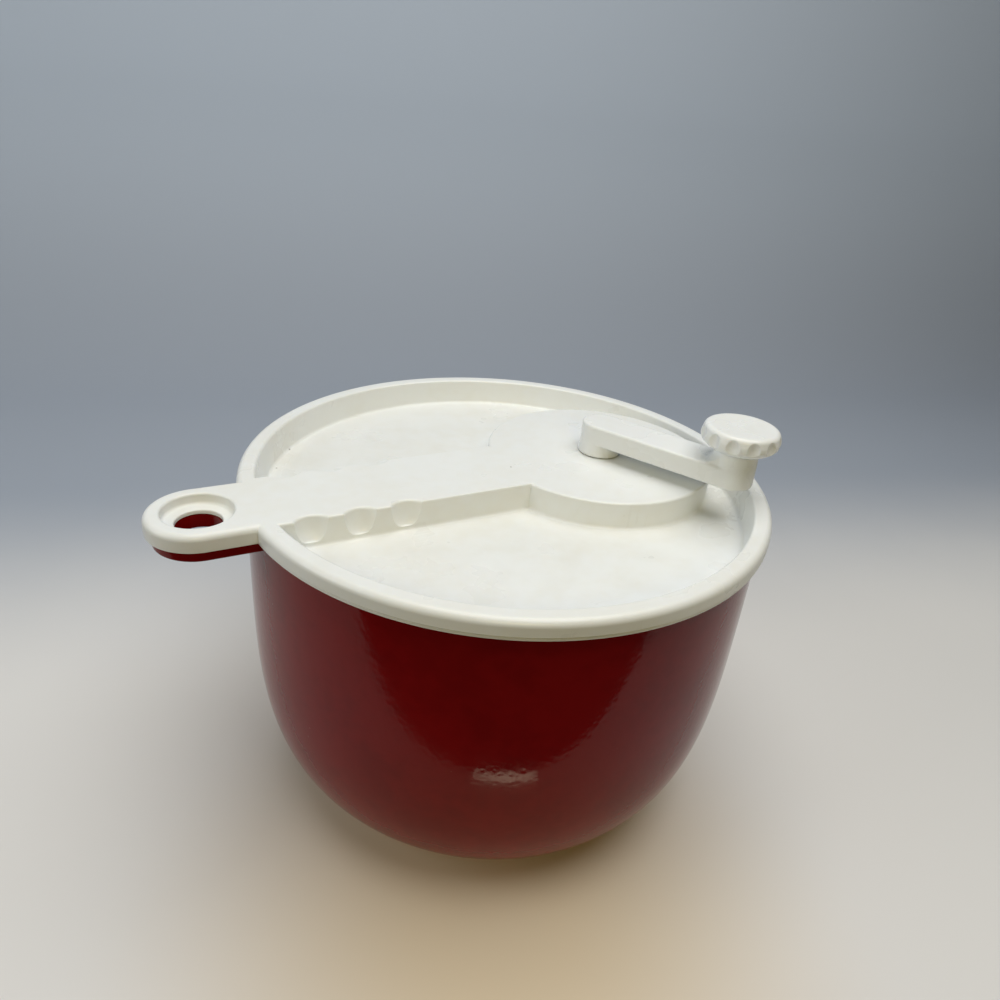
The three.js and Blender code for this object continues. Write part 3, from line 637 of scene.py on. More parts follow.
class Effects:
    """Shader node groups that several finishes share. Each gives one value."""

    def __init__(self) -> None:
        """Makes the groups."""
        self.mottle = self._mottle()
        self.specks = self._specks()
        self.scuffs = self._scuffs()

    @staticmethod
    def _start(name: str, inputs: dict[str, float]) -> tuple[Sketch, bpy.types.Node]:
        """Begins a group.

        Args:
            name: The group's name.
            inputs: Its number inputs and their defaults.

        Returns:
            A sketch of the group and its input node.
        """
        tree = bpy.data.node_groups.new(name, "ShaderNodeTree")
        for key, value in inputs.items():
            socket = tree.interface.new_socket(key, in_out="INPUT", socket_type="NodeSocketFloat")
            socket.default_value = value
        sketch = Sketch(tree)
        return sketch, sketch.node("NodeGroupInput")

    @staticmethod
    def _finish(sketch: Sketch, output: str, value: Socket) -> bpy.types.NodeTree:
        """Ends a group with its output.

        Args:
            sketch: The group's sketch.
            output: The output's name.
            value: What it gives.

        Returns:
            The group.
        """
        sketch.tree.interface.new_socket(output, in_out="OUTPUT", socket_type="NodeSocketFloat")
        sketch.node("NodeGroupOutput", {0: value})
        return sketch.tree

    def _mottle(self) -> bpy.types.NodeTree:
        """Slow cloudy variation with some finer cloud in it, about 0.5."""
        sketch, given = self._start("cloudy_mottle", {"Scale": 20.0})
        place, scale = sketch.place(), given.outputs["Scale"]
        slow = sketch.noise(place, scale, 3.0)
        fine = sketch.noise(place, sketch.times(scale, 7.0), 2.0)
        cloud = sketch.maths("MULTIPLY_ADD", fine, 0.35, sketch.times(slow, 0.65))
        return self._finish(sketch, "Cloud", cloud)

    def _specks(self) -> bpy.types.NodeTree:
        """Sparse round specks of dust, 1 on a speck."""
        sketch, given = self._start("dust_specks", {"Scale": 90.0, "Size": 0.06, "Share": 0.16})
        grid = {"Vector": sketch.place(), "Scale": given.outputs["Scale"]}
        cells = sketch.node("ShaderNodeTexVoronoi", grid)
        pick = sketch.node("ShaderNodeSeparateColor", {0: cells.outputs["Color"]})
        chosen = sketch.maths("LESS_THAN", pick.outputs[0], given.outputs["Share"])
        spread = sketch.times(given.outputs["Size"], sketch.maths("ADD", pick.outputs[1], 0.25))
        near = sketch.ramp(sketch.maths("DIVIDE", cells.outputs["Distance"], spread), 0.7, 1.0, 1.0, 0.0)
        return self._finish(sketch, "Specks", sketch.times(chosen, near))

    def _scuffs(self) -> bpy.types.NodeTree:
        """Fine hairline scuffs in a few directions, 1 on a line."""
        sketch, given = self._start("hairline_scuffs", {"Scale": 14.0, "Amount": 0.5})
        place = sketch.place()
        total: Value = 0.0
        for turn in (0.35, 1.25, 2.4):
            lie = {"Vector": place, "Rotation": (0.3, 0.2, turn), "Scale": (1.0, 26.0, 1.0)}
            turned = sketch.node("ShaderNodeMapping", lie)
            wave = sketch.noise(turned.outputs[0], given.outputs["Scale"], 1.0, 0.15)
            apart = sketch.maths("ABSOLUTE", sketch.maths("SUBTRACT", wave, 0.62))
            total = sketch.maths("MAXIMUM", total, sketch.ramp(apart, 0.0, 0.006, 1.0, 0.0))
        where = sketch.ramp(sketch.noise(place, 24.0, 2.0), 0.5, 0.66)
        faint = sketch.times(sketch.times(total, where), given.outputs["Amount"])
        return self._finish(sketch, "Scuffs", faint)


@dataclass(frozen=True)
class Finish:
    """What every finish has: its colours and its roughness."""

    colour: Colour
    shade: Colour
    roughness: float

    def start(self, effects: Effects) -> tuple[bpy.types.Material, Sketch, bpy.types.Node, Socket]:
        """Makes an empty material with a shader and the cloudy colour variation.

        Args:
            effects: The shared node groups.

        Returns:
            The material, its sketch, its Principled shader and the varied colour.
        """
        material, sketch, shader = Sketch.blank(type(self).__name__)
        share = sketch.ramp(sketch.effect(effects.mottle, {"Scale": 22.0}), 0.38, 0.66)
        return material, sketch, shader, sketch.mix(share, self.colour, self.shade)


@dataclass(frozen=True)
class SatinWhite(Finish):
    """Satin moulded plastic, darker and yellower low in its corners as painted shade mixed with dirt, with
    specks and hairline scuffs.
    """

    # heights and colour of the low band: painted corner shade mixed with yellowish dirt
    shade_and_grime_low: float = 0.0
    shade_and_grime_high: float = 0.0
    shade_and_grime: Colour = (0.50, 0.44, 0.27)
    dust: Colour = (0.16, 0.14, 0.11)
    scratch: Colour = (0.60, 0.58, 0.52)

    def material(self, effects: Effects) -> bpy.types.Material:
        """Builds the material.

        Args:
            effects: The shared node groups.

        Returns:
            The material.
        """
        made, sketch, shader, colour = self.start(effects)
        place = sketch.place()
        # painted shade: darker and yellower towards the given low heights, standing in for shade in corners
        # and where parts meet, mixed with dirt
        if self.shade_and_grime_high > self.shade_and_grime_low:
            height = sketch.node("ShaderNodeSeparateXYZ", {0: place}).outputs[2]
            level = sketch.ramp(height, self.shade_and_grime_low * MM, self.shade_and_grime_high * MM, 1.0, 0.0)
            blotch = sketch.ramp(sketch.noise(place, 55.0, 4.0), 0.42, 0.72, 0.12, 1.0)
            colour = sketch.mix(sketch.times(sketch.times(level, blotch), 0.10), colour, self.shade_and_grime)
        specks, scuffs = sketch.effect(effects.specks), sketch.effect(effects.scuffs)
        colour = sketch.mix(sketch.times(specks, 0.75), colour, self.dust)
        colour = sketch.mix(sketch.times(scuffs, 0.35), colour, self.scratch)
        sheen = sketch.ramp(
            sketch.noise(place, 40.0, 3.0), 0.3, 0.7, self.roughness - 0.05, self.roughness + 0.07
        )
        grain, wave = sketch.noise(place, 1500.0, 2.0), sketch.noise(place, 60.0, 1.0)
        height = sketch.maths("MULTIPLY_ADD", wave, 1.6, sketch.times(grain, 0.5))
        height = sketch.maths("SUBTRACT", height, sketch.times(scuffs, 0.6))
        sketch.bump(shader, height, 1.1e-5)
        sketch.wire(shader, {
            "Base Color": colour,
            "Roughness": sketch.maths("ADD", sheen, sketch.times(scuffs, 0.15)),
            "IOR": 1.49,
            "Subsurface Weight": 0.06,
            "Subsurface Scale": 0.004,
            "Subsurface Radius": (1.0, 0.75, 0.5),
        })
        return made


@dataclass(frozen=True)
class GlossRed(Finish):
    """High-gloss moulded plastic with a faint orange peel and a few hairlines."""

    dust: Colour = (0.45, 0.25, 0.22)

    def material(self, effects: Effects) -> bpy.types.Material:
        """Builds the material.

        Args:
            effects: The shared node groups.

        Returns:
            The material.
        """
        made, sketch, shader, colour = self.start(effects)
        place = sketch.place()
        scuffs = sketch.effect(effects.scuffs, {"Amount": 0.35})
        specks = sketch.effect(effects.specks, {"Scale": 140.0})
        haze = sketch.ramp(sketch.noise(place, 18.0, 3.0), 0.35, 0.7, self.roughness, self.roughness + 0.05)
        peel = sketch.node("ShaderNodeTexVoronoi", {"Vector": place, "Scale": 430.0}, feature="SMOOTH_F1")
        swell = sketch.noise(place, 30.0, 1.0)
        height = sketch.maths("MULTIPLY_ADD", swell, 2.0, sketch.times(peel.outputs[0], 3.2))
        sketch.bump(shader, height, 1.2e-5)
        sketch.wire(shader, {
            "Base Color": sketch.mix(sketch.times(specks, 0.3), colour, self.dust),
            "Roughness": sketch.maths("ADD", haze, sketch.times(scuffs, 0.2)),
            "IOR": 1.23,
        })
        return made


@dataclass(frozen=True)
class NaturalNylon(Finish):
    """Matt unpigmented nylon with a fine grain."""

    def material(self, effects: Effects) -> bpy.types.Material:
        """Builds the material.

        Args:
            effects: The shared node groups.

        Returns:
            The material.
        """
        made, sketch, shader, colour = self.start(effects)
        grain = sketch.noise(sketch.place(), 900.0, 4.0)
        sketch.bump(shader, grain, 2e-5)
        sketch.wire(shader, {
            "Base Color": colour,
            "Roughness": sketch.ramp(grain, 0.3, 0.7, self.roughness - 0.06, self.roughness + 0.06),
            "Subsurface Weight": 0.15,
            "Subsurface Scale": 0.003,
        })
        return made


@dataclass(frozen=True)
class PlatedSteel(Finish):
    """Bright plated steel with turning marks round upright axes and dull patches."""

    def material(self, effects: Effects) -> bpy.types.Material:
        """Builds the material.

        Args:
            effects: The shared node groups.

        Returns:
            The material.
        """
        made, sketch, shader, colour = self.start(effects)
        squash = sketch.node("ShaderNodeMapping", {"Vector": sketch.place(), "Scale": (0.3, 0.3, 9.0)})
        lines = sketch.noise(squash.outputs[0], 500.0, 3.0)
        sketch.bump(shader, lines, 1e-5)
        sketch.wire(shader, {
            "Base Color": colour,
            "Roughness": sketch.ramp(lines, 0.3, 0.7, self.roughness - 0.08, self.roughness + 0.12),
            "Metallic": 1.0,
        })
        return made


class Paints:
    """The finished materials, one for each look."""

    def __init__(self, levels: "Levels") -> None:
        """Builds them all.

        Args:
            levels: The part's heights, for the painted shade and dirt low in the tray.
        """
        effects = Effects()
        white, hue = (0.83, 0.845, 0.825), (0.81, 0.815, 0.775)
        bright, soft = (0.83, 0.845, 0.83), (0.81, 0.82, 0.79)
        # lid near the tray floor and crank at its foot on the lid: painted shade mixed with dirt
        self.lid = SatinWhite(white, hue, 0.31, levels.tray - 0.5, levels.tray + 3.0).material(effects)
        self.crank = SatinWhite(bright, soft, 0.26, levels.top - 1.0, levels.top + 4.0).material(effects)
        self.inside = SatinWhite(white, hue, 0.4).material(effects)
        self.red = GlossRed((0.19, 0.003, 0.003), (0.155, 0.002, 0.002), 0.09).material(effects)
        self.nylon = NaturalNylon((0.72, 0.70, 0.62), (0.66, 0.64, 0.55), 0.5).material(effects)
        self.steel = PlatedSteel((0.66, 0.67, 0.68), (0.58, 0.58, 0.59), 0.3).material(effects)


# ------------------------------------------------------------------ shared places
@dataclass(frozen=True)
class Levels:
    """Heights, centres and sizes that several pieces share, in millimetres."""

    top: float
    crank_x: float
    knob: Pair
    crank_top: float
    knob_low: float
    knob_top: float
    cover_low: float
    cover_top: float
    driver_low: float
    driver_hub_top: float
    basket_low: float
    basket_top: float
    rim_height: float = 9.1
    tray_depth: float = 13.5
    wall: float = 2.2
    tab_reach: float = 144.5
    hole: float = 9.6
    recess_depth: float = 5.0
    paddle_inner: float = 55.5
    box_end: float = -26.6
    screw_hole: float = 1.85

    @property
    def skirt(self) -> float:
        """Height of the lid skirt's lower edge."""
        return self.top - self.rim_height

    @property
    def tray(self) -> float:
        """Height of the tray's floor."""
        return self.top - self.tray_depth

    @property
    def under(self) -> float:
        """Height of the tray's underside."""
        return self.tray - self.wall

    @property
    def ceiling(self) -> float:
        """Height of the underside of the lid's top."""
        return self.top - self.wall

    @staticmethod
    def measured() -> "Levels":
        """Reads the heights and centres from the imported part."""
        boxes = {name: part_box(name) for name in frame["nodes"]}
        joints = {joint["name"]: joint for joint in frame["joints"]}
        knob = joints["knob_spin"]["pos_m"]
        return Levels(
            top=boxes["lid"][1].z / MM,
            crank_x=joints["crank_spin"]["pos_m"][0] / MM,
            knob=(knob[0] / MM, knob[1] / MM),
            crank_top=boxes["crank"][1].z / MM,
            knob_low=boxes["knob"][0].z / MM,
            knob_top=boxes["knob"][1].z / MM,
            cover_low=boxes["gear_cover"][0].z / MM,
            cover_top=boxes["gear_cover"][1].z / MM,
            driver_low=boxes["basket_driver"][0].z / MM,
            driver_hub_top=boxes["basket_driver"][1].z / MM,
            basket_low=boxes["basket"][0].z / MM,
            basket_top=boxes["basket"][1].z / MM,
        )


def hand_over(piece: bpy.types.Object, node: str, body: str, paint: bpy.types.Material) -> None:
    """Dresses a finished piece, hangs it on its body's empty and hides the node that it stands for.

    Args:
        piece: The finished piece.
        node: The node that it stands for.
        body: The body that it moves with.
        paint: Its material.
    """
    piece.name = f"{node}_skin"
    piece.data.name = piece.name
    piece.data.materials.clear()
    piece.data.materials.append(paint)
    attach(piece, body)
    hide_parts(node)
    LOG.info("%s: %d faces", piece.name, len(piece.data.polygons))


# ------------------------------------------------------------------ bowl
@dataclass(frozen=True)
class Bowl:
    """The deep red bowl with its hang tab."""

    levels: Levels
    radius: float = 123.5
    height: float = 173.4
    belly: float = 142.0
    base: float = 60.0
    wall: float = 2.4
    curve: float = 4.0
    tab_root: float = -100.0
    tab_radius: float = 18.85
    tab_thick: float = 4.2
    tab_seat: float = 0.35
    skirt_room: float = 127.35
    boss: float = 8.0
    boss_top: float = 7.0
    pin_hole: float = 3.35

    def build(self) -> bpy.types.Object:
        """Turns the shell and joins its tab.

        Returns:
            The bowl.
        """
        inner = self.radius - self.wall
        lip = self.wall / 2
        profile = [
            (0.0, 0.9),
            (self.base - 6, 0.9),
            *arc(self.base - 4, 0.9, 0.9, 180, 270, 4),
            *cup(self.radius, self.belly, self.base, 0.0, self.curve, 44),
            *arc(self.radius - lip, self.height - lip, lip, 0, 180, 8),
            *reversed(cup(inner, self.belly, self.base - 1, self.wall, self.curve, 36)),
            (self.boss + 1.5, self.wall),
            *arc(self.boss + 1.5, self.wall + 1.5, 1.5, 270, 180, 4)[1:],
            (self.boss, self.boss_top - 0.4),
            (self.boss - 0.4, self.boss_top),
            (self.pin_hole + 0.3, self.boss_top),
            (self.pin_hole, self.boss_top - 0.3),
            (self.pin_hole, self.wall + 0.6),
            (0.0, self.wall + 0.6),
        ]
        shell = Bench.turned("bowl_shell", profile, facets=256)
        Bench.add(shell, self._tab())
        Bench.tidy(shell)
        Bench.shade(shell, 38)
        return shell

    def _tab(self) -> bpy.types.Object:
        """The tab that lies under the lid's tab and fills its hollow.

        Returns:
            The tab, clear of the lid's skirt and of the bowl's inside.
        """
        reach, hole = self.levels.tab_reach, self.levels.hole
        top = self.levels.skirt - self.tab_seat
        bottom = top - self.tab_thick
        upper_top = self.levels.top - self.levels.recess_depth - self.levels.wall - self.tab_seat
        ends = (-reach, self.tab_root)
        tab = Bench.capsule("bowl_tab", ends, self.tab_radius, bottom, top)
        Bench.round_rim(tab, bottom, 0.9, 3)
        upper = Bench.capsule("bowl_tab_upper", ends, self.tab_radius, top - 0.5, upper_top)
        Bench.cut(upper, Bench.post("room", self.skirt_room, top - 2, top + 9, facets=192))
        Bench.add(tab, upper)
        inside = Bench.post("inside", self.radius - self.wall / 2, bottom - 2, top + 9, facets=192)
        bore = [
            (0, bottom - 2),
            (hole + 2.7, bottom - 2),
            *arc(hole + 0.7, bottom, 0.7, 270, 180, 3),
            (hole, top + 9),
            (0, top + 9),
        ]
        Bench.cut(tab, inside, Bench.turned("hole", bore, (-reach, 0), 72))
        return tab

    def dress(self, paints: Paints) -> None:
        """Builds the bowl and hands it over in its finish."""
        hand_over(self.build(), "bowl", "bowl", paints.red)


# ------------------------------------------------------------------ lid
@dataclass(frozen=True)
class Lid:
    """The tray lid: rim, skirt, paddle grip with finger scoops, hang tab and hollow underside."""

    levels: Levels
    radius: float = 127.0
    skirt_inner: float = 125.0
    tray_radius: float = 118.8
    draft: float = 2.3
    tray_wall: float = 1.7
    rim_round: float = 3.2
    groove: float = 0.35
    band: float = 2.0
    step: float = 0.5
    foot: float = 1.8
    edge: float = 1.1
    tab_root: float = -118.0
    tab_inner_root: float = -104.0
    tab_radius: float = 21.4
    tab_round: float = 3.0
    tab_lift: float = 1.1
    recess: float = 14.6
    arm_half: float = 22.2
    arm_end: float = -140.0
    arm_inner_end: float = -106.8
    paddle: float = 57.7
    scoop_count: int = 3
    scoop_first: float = -61.5
    scoop_pitch: float = 21.0
    scoop_radius: float = 9.3
    scoop_depth: float = 3.4
    pillar: float = 3.6
    crank_boss: float = 7.5
    spindle_boss: float = 7.7
    spindle_hole: float = 4.55
    pillars: tuple[Pair, ...] = ()

    def build(self) -> bpy.types.Object:
        """Makes the lid from its outer form, its tray and its hollows.

        Returns:
            The lid.
        """
        body = self._outer()
        Bench.add(body, self._tab())
        Bench.cut(body, self._tray())
        top, ceiling, low = self.levels.top, self.levels.ceiling, self.levels.cover_low
        crank = (self.levels.crank_x, 0)
        reach = self.tray_radius + 1.5
        Bench.cut(body, *self._hollows(), self._hang_hole())
        for place in self.pillars:
            Bench.add(body, Bench.post("post", self.pillar, low + 2.35, ceiling + 1, place))
        Bench.add(
            body,
            Bench.post("boss", self.crank_boss + 2.5, ceiling - 3, ceiling + 1, crank),
            Bench.post("blind", self.spindle_boss, ceiling - 4.75, ceiling + 1),
        )
        Bench.cut(
            body,
            Bench.post("bore", self.crank_boss, ceiling - 5, top + 2, crank),
            Bench.post("spindle_bore", self.spindle_hole, ceiling - 6, ceiling - 0.65),
        )
        for place in self.pillars:
            Bench.cut(body, Bench.post("screw_bore", self.levels.screw_hole, low + 1, low + 11, place))
        Bench.tidy(body)
        Bench.round_rim(body, top, self.edge, 4, keep=lambda p: math.hypot(p.x, p.y) < reach)
        Bench.shade(body, 34)
        return body

    def _outer(self) -> bpy.types.Object:
        """The lid's outer form, still solid, with the channel for the bowl's edge below.

        Returns:
            The solid.
        """
        top, skirt = self.levels.top, self.levels.skirt
        under, ceiling = self.levels.under, self.levels.ceiling
        floor = self.tray_radius - self.draft + self.tray_wall
        low = self.radius - self.step
        profile = [
            (0.0, under),
            (floor - 3, under),
            *arc(floor - 3, under + 3, 3, 270, 350, 5)[1:],
            (self.tray_radius + self.tray_wall - 0.8, ceiling - 1.2),
            *arc(self.tray_radius + self.tray_wall + 0.6, ceiling - 1.3, 1.3, 170, 90, 4),
            (self.skirt_inner - 0.8, ceiling),
            (self.skirt_inner, ceiling - 0.8),
            (self.skirt_inner, skirt + 0.4),
            (self.skirt_inner + 0.4, skirt),
            (low - 0.5, skirt),
            *arc(low - 0.5, skirt + 0.5, 0.5, 270, 360, 3)[1:],
            (low, skirt + self.band - 0.55),
            (low - self.groove, skirt + self.band - 0.35),
            (self.radius - 0.12, skirt + self.band),
            (self.radius, skirt + self.band + 0.12),
            *arc(self.radius - self.rim_round, top - self.rim_round, self.rim_round, 0, 90, 12),
            (0.0, top),
        ]
        return Bench.turned("lid_outer", profile, facets=288)

    def _tab(self) -> bpy.types.Object:
        """The hang tab with its rounded upper edge.

        Returns:
            The solid tab.
        """
        low = self.levels.skirt + self.tab_lift
        ends = (-self.levels.tab_reach, self.tab_root)
        tab = Bench.capsule("lid_tab", ends, self.tab_radius, low, self.levels.top, 144)
        Bench.round_rim(tab, self.levels.top, self.tab_round, 8)
        Bench.round_rim(tab, low, 0.4, 2)
        return tab

    def _tray(self) -> bpy.types.Object:
        """The hollow above the tray's floor, round the paddle grip, with its lower edges rounded.

        Returns:
            The cutter.
        """
        tray, top = self.levels.tray, self.levels.top
        slope = self.draft / (top - tray)
        wide = self.tray_radius - self.draft
        dish = [
            (0.0, tray),
            *arc(wide - self.foot, tray + self.foot, self.foot, 270, 350, 7),
            (self.tray_radius + slope * 5, top + 5),
            (0.0, top + 5),
        ]
        hollow = Bench.turned("tray_hollow", dish, facets=288)
        flare = [(self.foot - r, z) for r, z in arc(0, tray + self.foot, self.foot, 270, 360, 8)]
        flare[0] = (self.foot + 1.5, tray - 0.4)
        round_end = [
            (0.0, tray - 5),
            (self.paddle + self.foot + 1.5, tray - 5),
            *[(self.paddle + out, z) for out, z in flare],
            (self.paddle, top + 9),
            (0.0, top + 9),
        ]
        grip = Bench.turned("grip", round_end, (self.levels.crank_x, 0), 240)
        Bench.add(grip, self._arm(flare))
        Bench.cut(hollow, grip)
        for index in range(self.scoop_count):
            for side in (-1, 1):
                Bench.add(hollow, self._scoop(self.scoop_first - index * self.scoop_pitch, side))
        return hollow

    def _arm(self, flare: Profile) -> bpy.types.Object:
        """The straight grip, drawn down from its top and flared at its foot.

        Args:
            flare: (outward, height) points of the foot's flare, lowest first.

        Returns:
            The solid, longer and taller than the grip itself.
        """
        top, start = self.levels.top + 9, flare[-1][1]
        low, high = (self.arm_end, -self.arm_half, start), (self.levels.crank_x, self.arm_half, top)
        arm = Bench.block("arm", low, high)
        Bench.pick(arm, "FACE", lambda p: abs(p.z - start) < 1e-3)
        half, height = self.arm_half, start
        for out, z in [*reversed(flare[:-1]), (flare[0][0], self.levels.tray - 5)]:
            bpy.ops.mesh.extrude_region_move(TRANSFORM_OT_translate={"value": (0, 0, (z - height) * MM)})
            grow = (self.arm_half + out) / half
            bpy.ops.transform.resize(value=(1, grow, 1), center_override=(0, 0, z * MM))
            half, height = self.arm_half + out, z
        bpy.ops.object.mode_set(mode="OBJECT")
        return arm

    def _scoop(self, x: float, side: int) -> bpy.types.Object:
        """One finger scoop, wide at the top and narrowing to nothing near the floor.

        Args:
            x: Where it stands along the arm.
            side: 1 or -1, the side of the arm.

        Returns:
            The cutter.
        """
        low, top = self.levels.tray + 2.2, self.levels.top
        foot = self.scoop_radius - self.scoop_depth
        y = side * (self.arm_half + foot - 0.02)
        curve = arc(0, 0, 1, 0, 90, 10)
        profile = [
            (0.0, low),
            *[
                (foot + self.scoop_depth * (0.12 * (1 - c) + 0.88 * s), top - (top - low) * c)
                for c, s in curve
            ],
            (self.scoop_radius, top + 5),
            (0.0, top + 5),
        ]
        return Bench.turned("scoop", profile, (x, y), 96)

    def _hollows(self) -> list[bpy.types.Object]:
        """The gear box, the hollow arm and the hollow tab, all open below.

        Returns:
            The cutters.
        """
        low, ceiling, end = self.levels.under - 1, self.levels.ceiling, self.levels.box_end
        channel = self.arm_half - self.scoop_depth - self.levels.wall
        tab = Bench.capsule(
            "tab_hollow",
            (-self.levels.tab_reach, self.tab_inner_root),
            self.tab_radius - self.levels.wall,
            self.levels.skirt - 1,
            self.levels.top - self.levels.recess_depth - self.levels.wall,
            144,
        )
        Bench.cut(tab, Bench.post("rim_stays", self.radius - self.step, 0, 999, facets=288))
        gears = Bench.post("gear_box", self.levels.paddle_inner, low, ceiling, (self.levels.crank_x, 0), 192)
        box = Bench.block("box", (end, -channel, low), (self.levels.crank_x, channel, ceiling))
        Bench.add(gears, box)
        arm = Bench.block("arm_hollow", (self.arm_inner_end, -channel, low), (end - 2, channel, ceiling))
        return [gears, arm, tab]

    def _hang_hole(self) -> bpy.types.Object:
        """The hang hole and the recess round it, with rounded edges.

        Returns:
            The cutter.
        """
        top, hole, low = self.levels.top, self.levels.hole, self.levels.skirt - 3
        floor = top - self.levels.recess_depth
        lip = 1.0
        profile = [
            (0.0, low),
            (hole, low),
            (hole, floor - 1.0),
            *arc(hole + 0.7, floor - 0.95, 0.7, 180, 100, 4),
            (self.recess - 1.4, floor),
            *arc(self.recess - 1.4, floor + 1.4, 1.4, 275, 360, 5),
            *arc(self.recess + lip, top - lip, lip, 180, 95, 5),
            (self.recess + lip + 0.6, top + 0.4),
            (self.recess + lip + 0.6, top + 4),
            (0.0, top + 4),
        ]
        return Bench.turned("hang_hole", profile, (-self.levels.tab_reach, 0), 96)

    def dress(self, paints: Paints) -> None:
        """Builds the lid and hands it over in its finish."""
        hand_over(self.build(), "lid", "lid", paints.lid)


# ------------------------------------------------------------------ crank and knob
@dataclass(frozen=True)
class Crank:
    """The crank: hub, arm and the neck that carries the knob."""

    levels: Levels
    radius: float = 10.4
    thickness: float = 10.0
    neck: float = 10.2
    neck_rise: float = 8.5
    edge: float = 1.0
    flare: float = 0.6
    hex_room: float = 5.25
    pin_room: float = 3.35
    pin_head: float = 5.85

    def build(self) -> bpy.types.Object:
        """Makes the crank along the X axis and turns it to its rest angle.

        Returns:
            The crank.
        """
        x0 = self.levels.crank_x
        reach = math.hypot(self.levels.knob[0] - x0, self.levels.knob[1])
        end = x0 + reach
        top = self.levels.crank_top - self.neck_rise
        under = top - self.thickness
        foot = self.levels.top + 0.5
        arm = Bench.capsule("crank_arm", (x0, end), self.radius, under, top, 128)
        Bench.round_rim(arm, top, self.edge, 4)
        Bench.round_rim(arm, under, self.edge, 4)
        wide = self.radius + self.flare
        hub = [
            (0, foot),
            (wide - 0.3, foot),
            (wide, foot + 0.3),
            (self.radius, under + 1.2),
            (0, under + 1.2),
        ]
        neck = [
            (0, under + 1.0),
            (self.radius - 0.05, under + 1.0),
            (self.radius - 0.05, top),
            (self.neck, self.levels.crank_top - 0.3),
            (self.neck - 0.3, self.levels.crank_top),
            (0, self.levels.crank_top),
        ]
        hub_solid = Bench.turned("hub", hub, (x0, 0), 128)
        Bench.add(arm, hub_solid, Bench.turned("neck", neck, (end, 0), 128))
        Bench.add(arm, self._fillet(end, top))
        Bench.melt(arm, 0.42, 5)
        Bench.cut(
            arm,
            Bench.post("socket", self.hex_room, foot - 1, top - 3.5, (x0, 0), 6),
            Bench.post("pin_bore", self.pin_room, under - 2, top + 12, (end, 0)),
            Bench.post("head_room", self.pin_head, under - 2, under + 2.2, (end, 0)),
        )
        angle = math.atan2(self.levels.knob[1], self.levels.knob[0] - x0)
        Bench.turn(arm, angle, (x0 * MM, 0, 0))
        Bench.tidy(arm)
        Bench.shade(arm, 40)
        return arm

    def _fillet(self, end: float, top: float) -> bpy.types.Object:
        """The soft saddle where the neck rises from the arm, on the hub's side.

        Args:
            end: X of the neck's centre.
            top: Height of the arm's top.

        Returns:
            The saddle.
        """
        sweep = 6.0
        profile = [
            (0, top - 1),
            (self.neck + sweep + 0.4, top - 1),
            *arc(self.neck + sweep, top + sweep, sweep, 270, 180, 10),
            (0, top + sweep),
        ]
        saddle = Bench.turned("saddle", profile, (end, 0), 128)
        mask = Bench.capsule("mask", (end - 30, end), self.radius - self.edge, top - 2, top + 20, 128)
        Bench.combine(saddle, "INTERSECT", mask)
        return saddle

    def dress(self, paints: Paints) -> None:
        """Builds the crank and hands it over in its finish."""
        hand_over(self.build(), "crank", "crank", paints.crank)


@dataclass(frozen=True)
class Knob:
    """The fluted turning knob."""

    levels: Levels
    radius: float = 18.2
    flutes: int = 12
    flute_radius: float = 4.0
    flute_depth: float = 1.65
    flute_stretch: float = 1.6
    top_round: float = 2.6
    bore: float = 3.35
    pocket: float = 4.35

    def build(self) -> bpy.types.Object:
        """Turns the knob and presses its flutes.

        Returns:
            The knob.
        """
        low, top = self.levels.knob_low, self.levels.knob_top
        tall = top - low
        seam = low + tall * 0.42
        edge = self.radius * 0.965
        profile = [
            (0.0, low + 0.35),
            (self.radius * 0.70, low + 0.35),
            (self.radius * 0.76, low),
            *arc(self.radius * 0.80, low + 1.0, 1.0, 270, 320, 3),
            (self.radius * 0.94, low + tall * 0.18),
            (self.radius * 0.985, low + tall * 0.31),
            (self.radius, seam - 0.15),
            (self.radius - 0.25, seam),
            (self.radius, seam + 0.15),
            (self.radius * 0.995, low + tall * 0.58),
            *arc(edge - self.top_round, top - self.top_round, self.top_round, 12, 90, 10),
            (self.radius * 0.6, top - 0.1),
            (self.radius * 0.3, top - 0.22),
            (0.0, top - 0.26),
        ]
        knob = Bench.turned("knob_form", profile, self.levels.knob, 216)
        Bench.cut(knob, self._flutes(low, top))
        Bench.melt(knob, 0.26, 5)
        barb = low + tall * 0.4
        Bench.cut(
            knob,
            Bench.post("knob_bore", self.bore, low - 1, barb, self.levels.knob),
            Bench.post("knob_pocket", self.pocket, barb - 0.5, barb + 2.5, self.levels.knob),
        )
        Bench.tidy(knob)
        Bench.shade(knob, 40)
        return knob

    def _flutes(self, low: float, top: float) -> bpy.types.Object:
        """Upright rounded cutters all round the knob.

        Args:
            low: Height of the knob's underside.
            top: Height of its top.

        Returns:
            One object that holds every cutter.
        """
        x, y = self.levels.knob
        centre = x + self.radius + self.flute_radius - self.flute_depth
        middle = low + (top - low) * 0.52
        Bench.clear()
        bpy.ops.mesh.primitive_uv_sphere_add(
            segments=48,
            ring_count=24,
            radius=self.flute_radius * MM,
            location=(centre * MM, y * MM, middle * MM),
        )
        bpy.context.object.scale = (1.0, 1.0, self.flute_stretch)
        flute = Bench.settle("flute")
        return Bench.around(flute, self.flutes, 0.1, (x, y))

    def dress(self, paints: Paints) -> None:
        """Builds the knob and hands it over in its finish."""
        hand_over(self.build(), "knob", "knob", paints.crank)


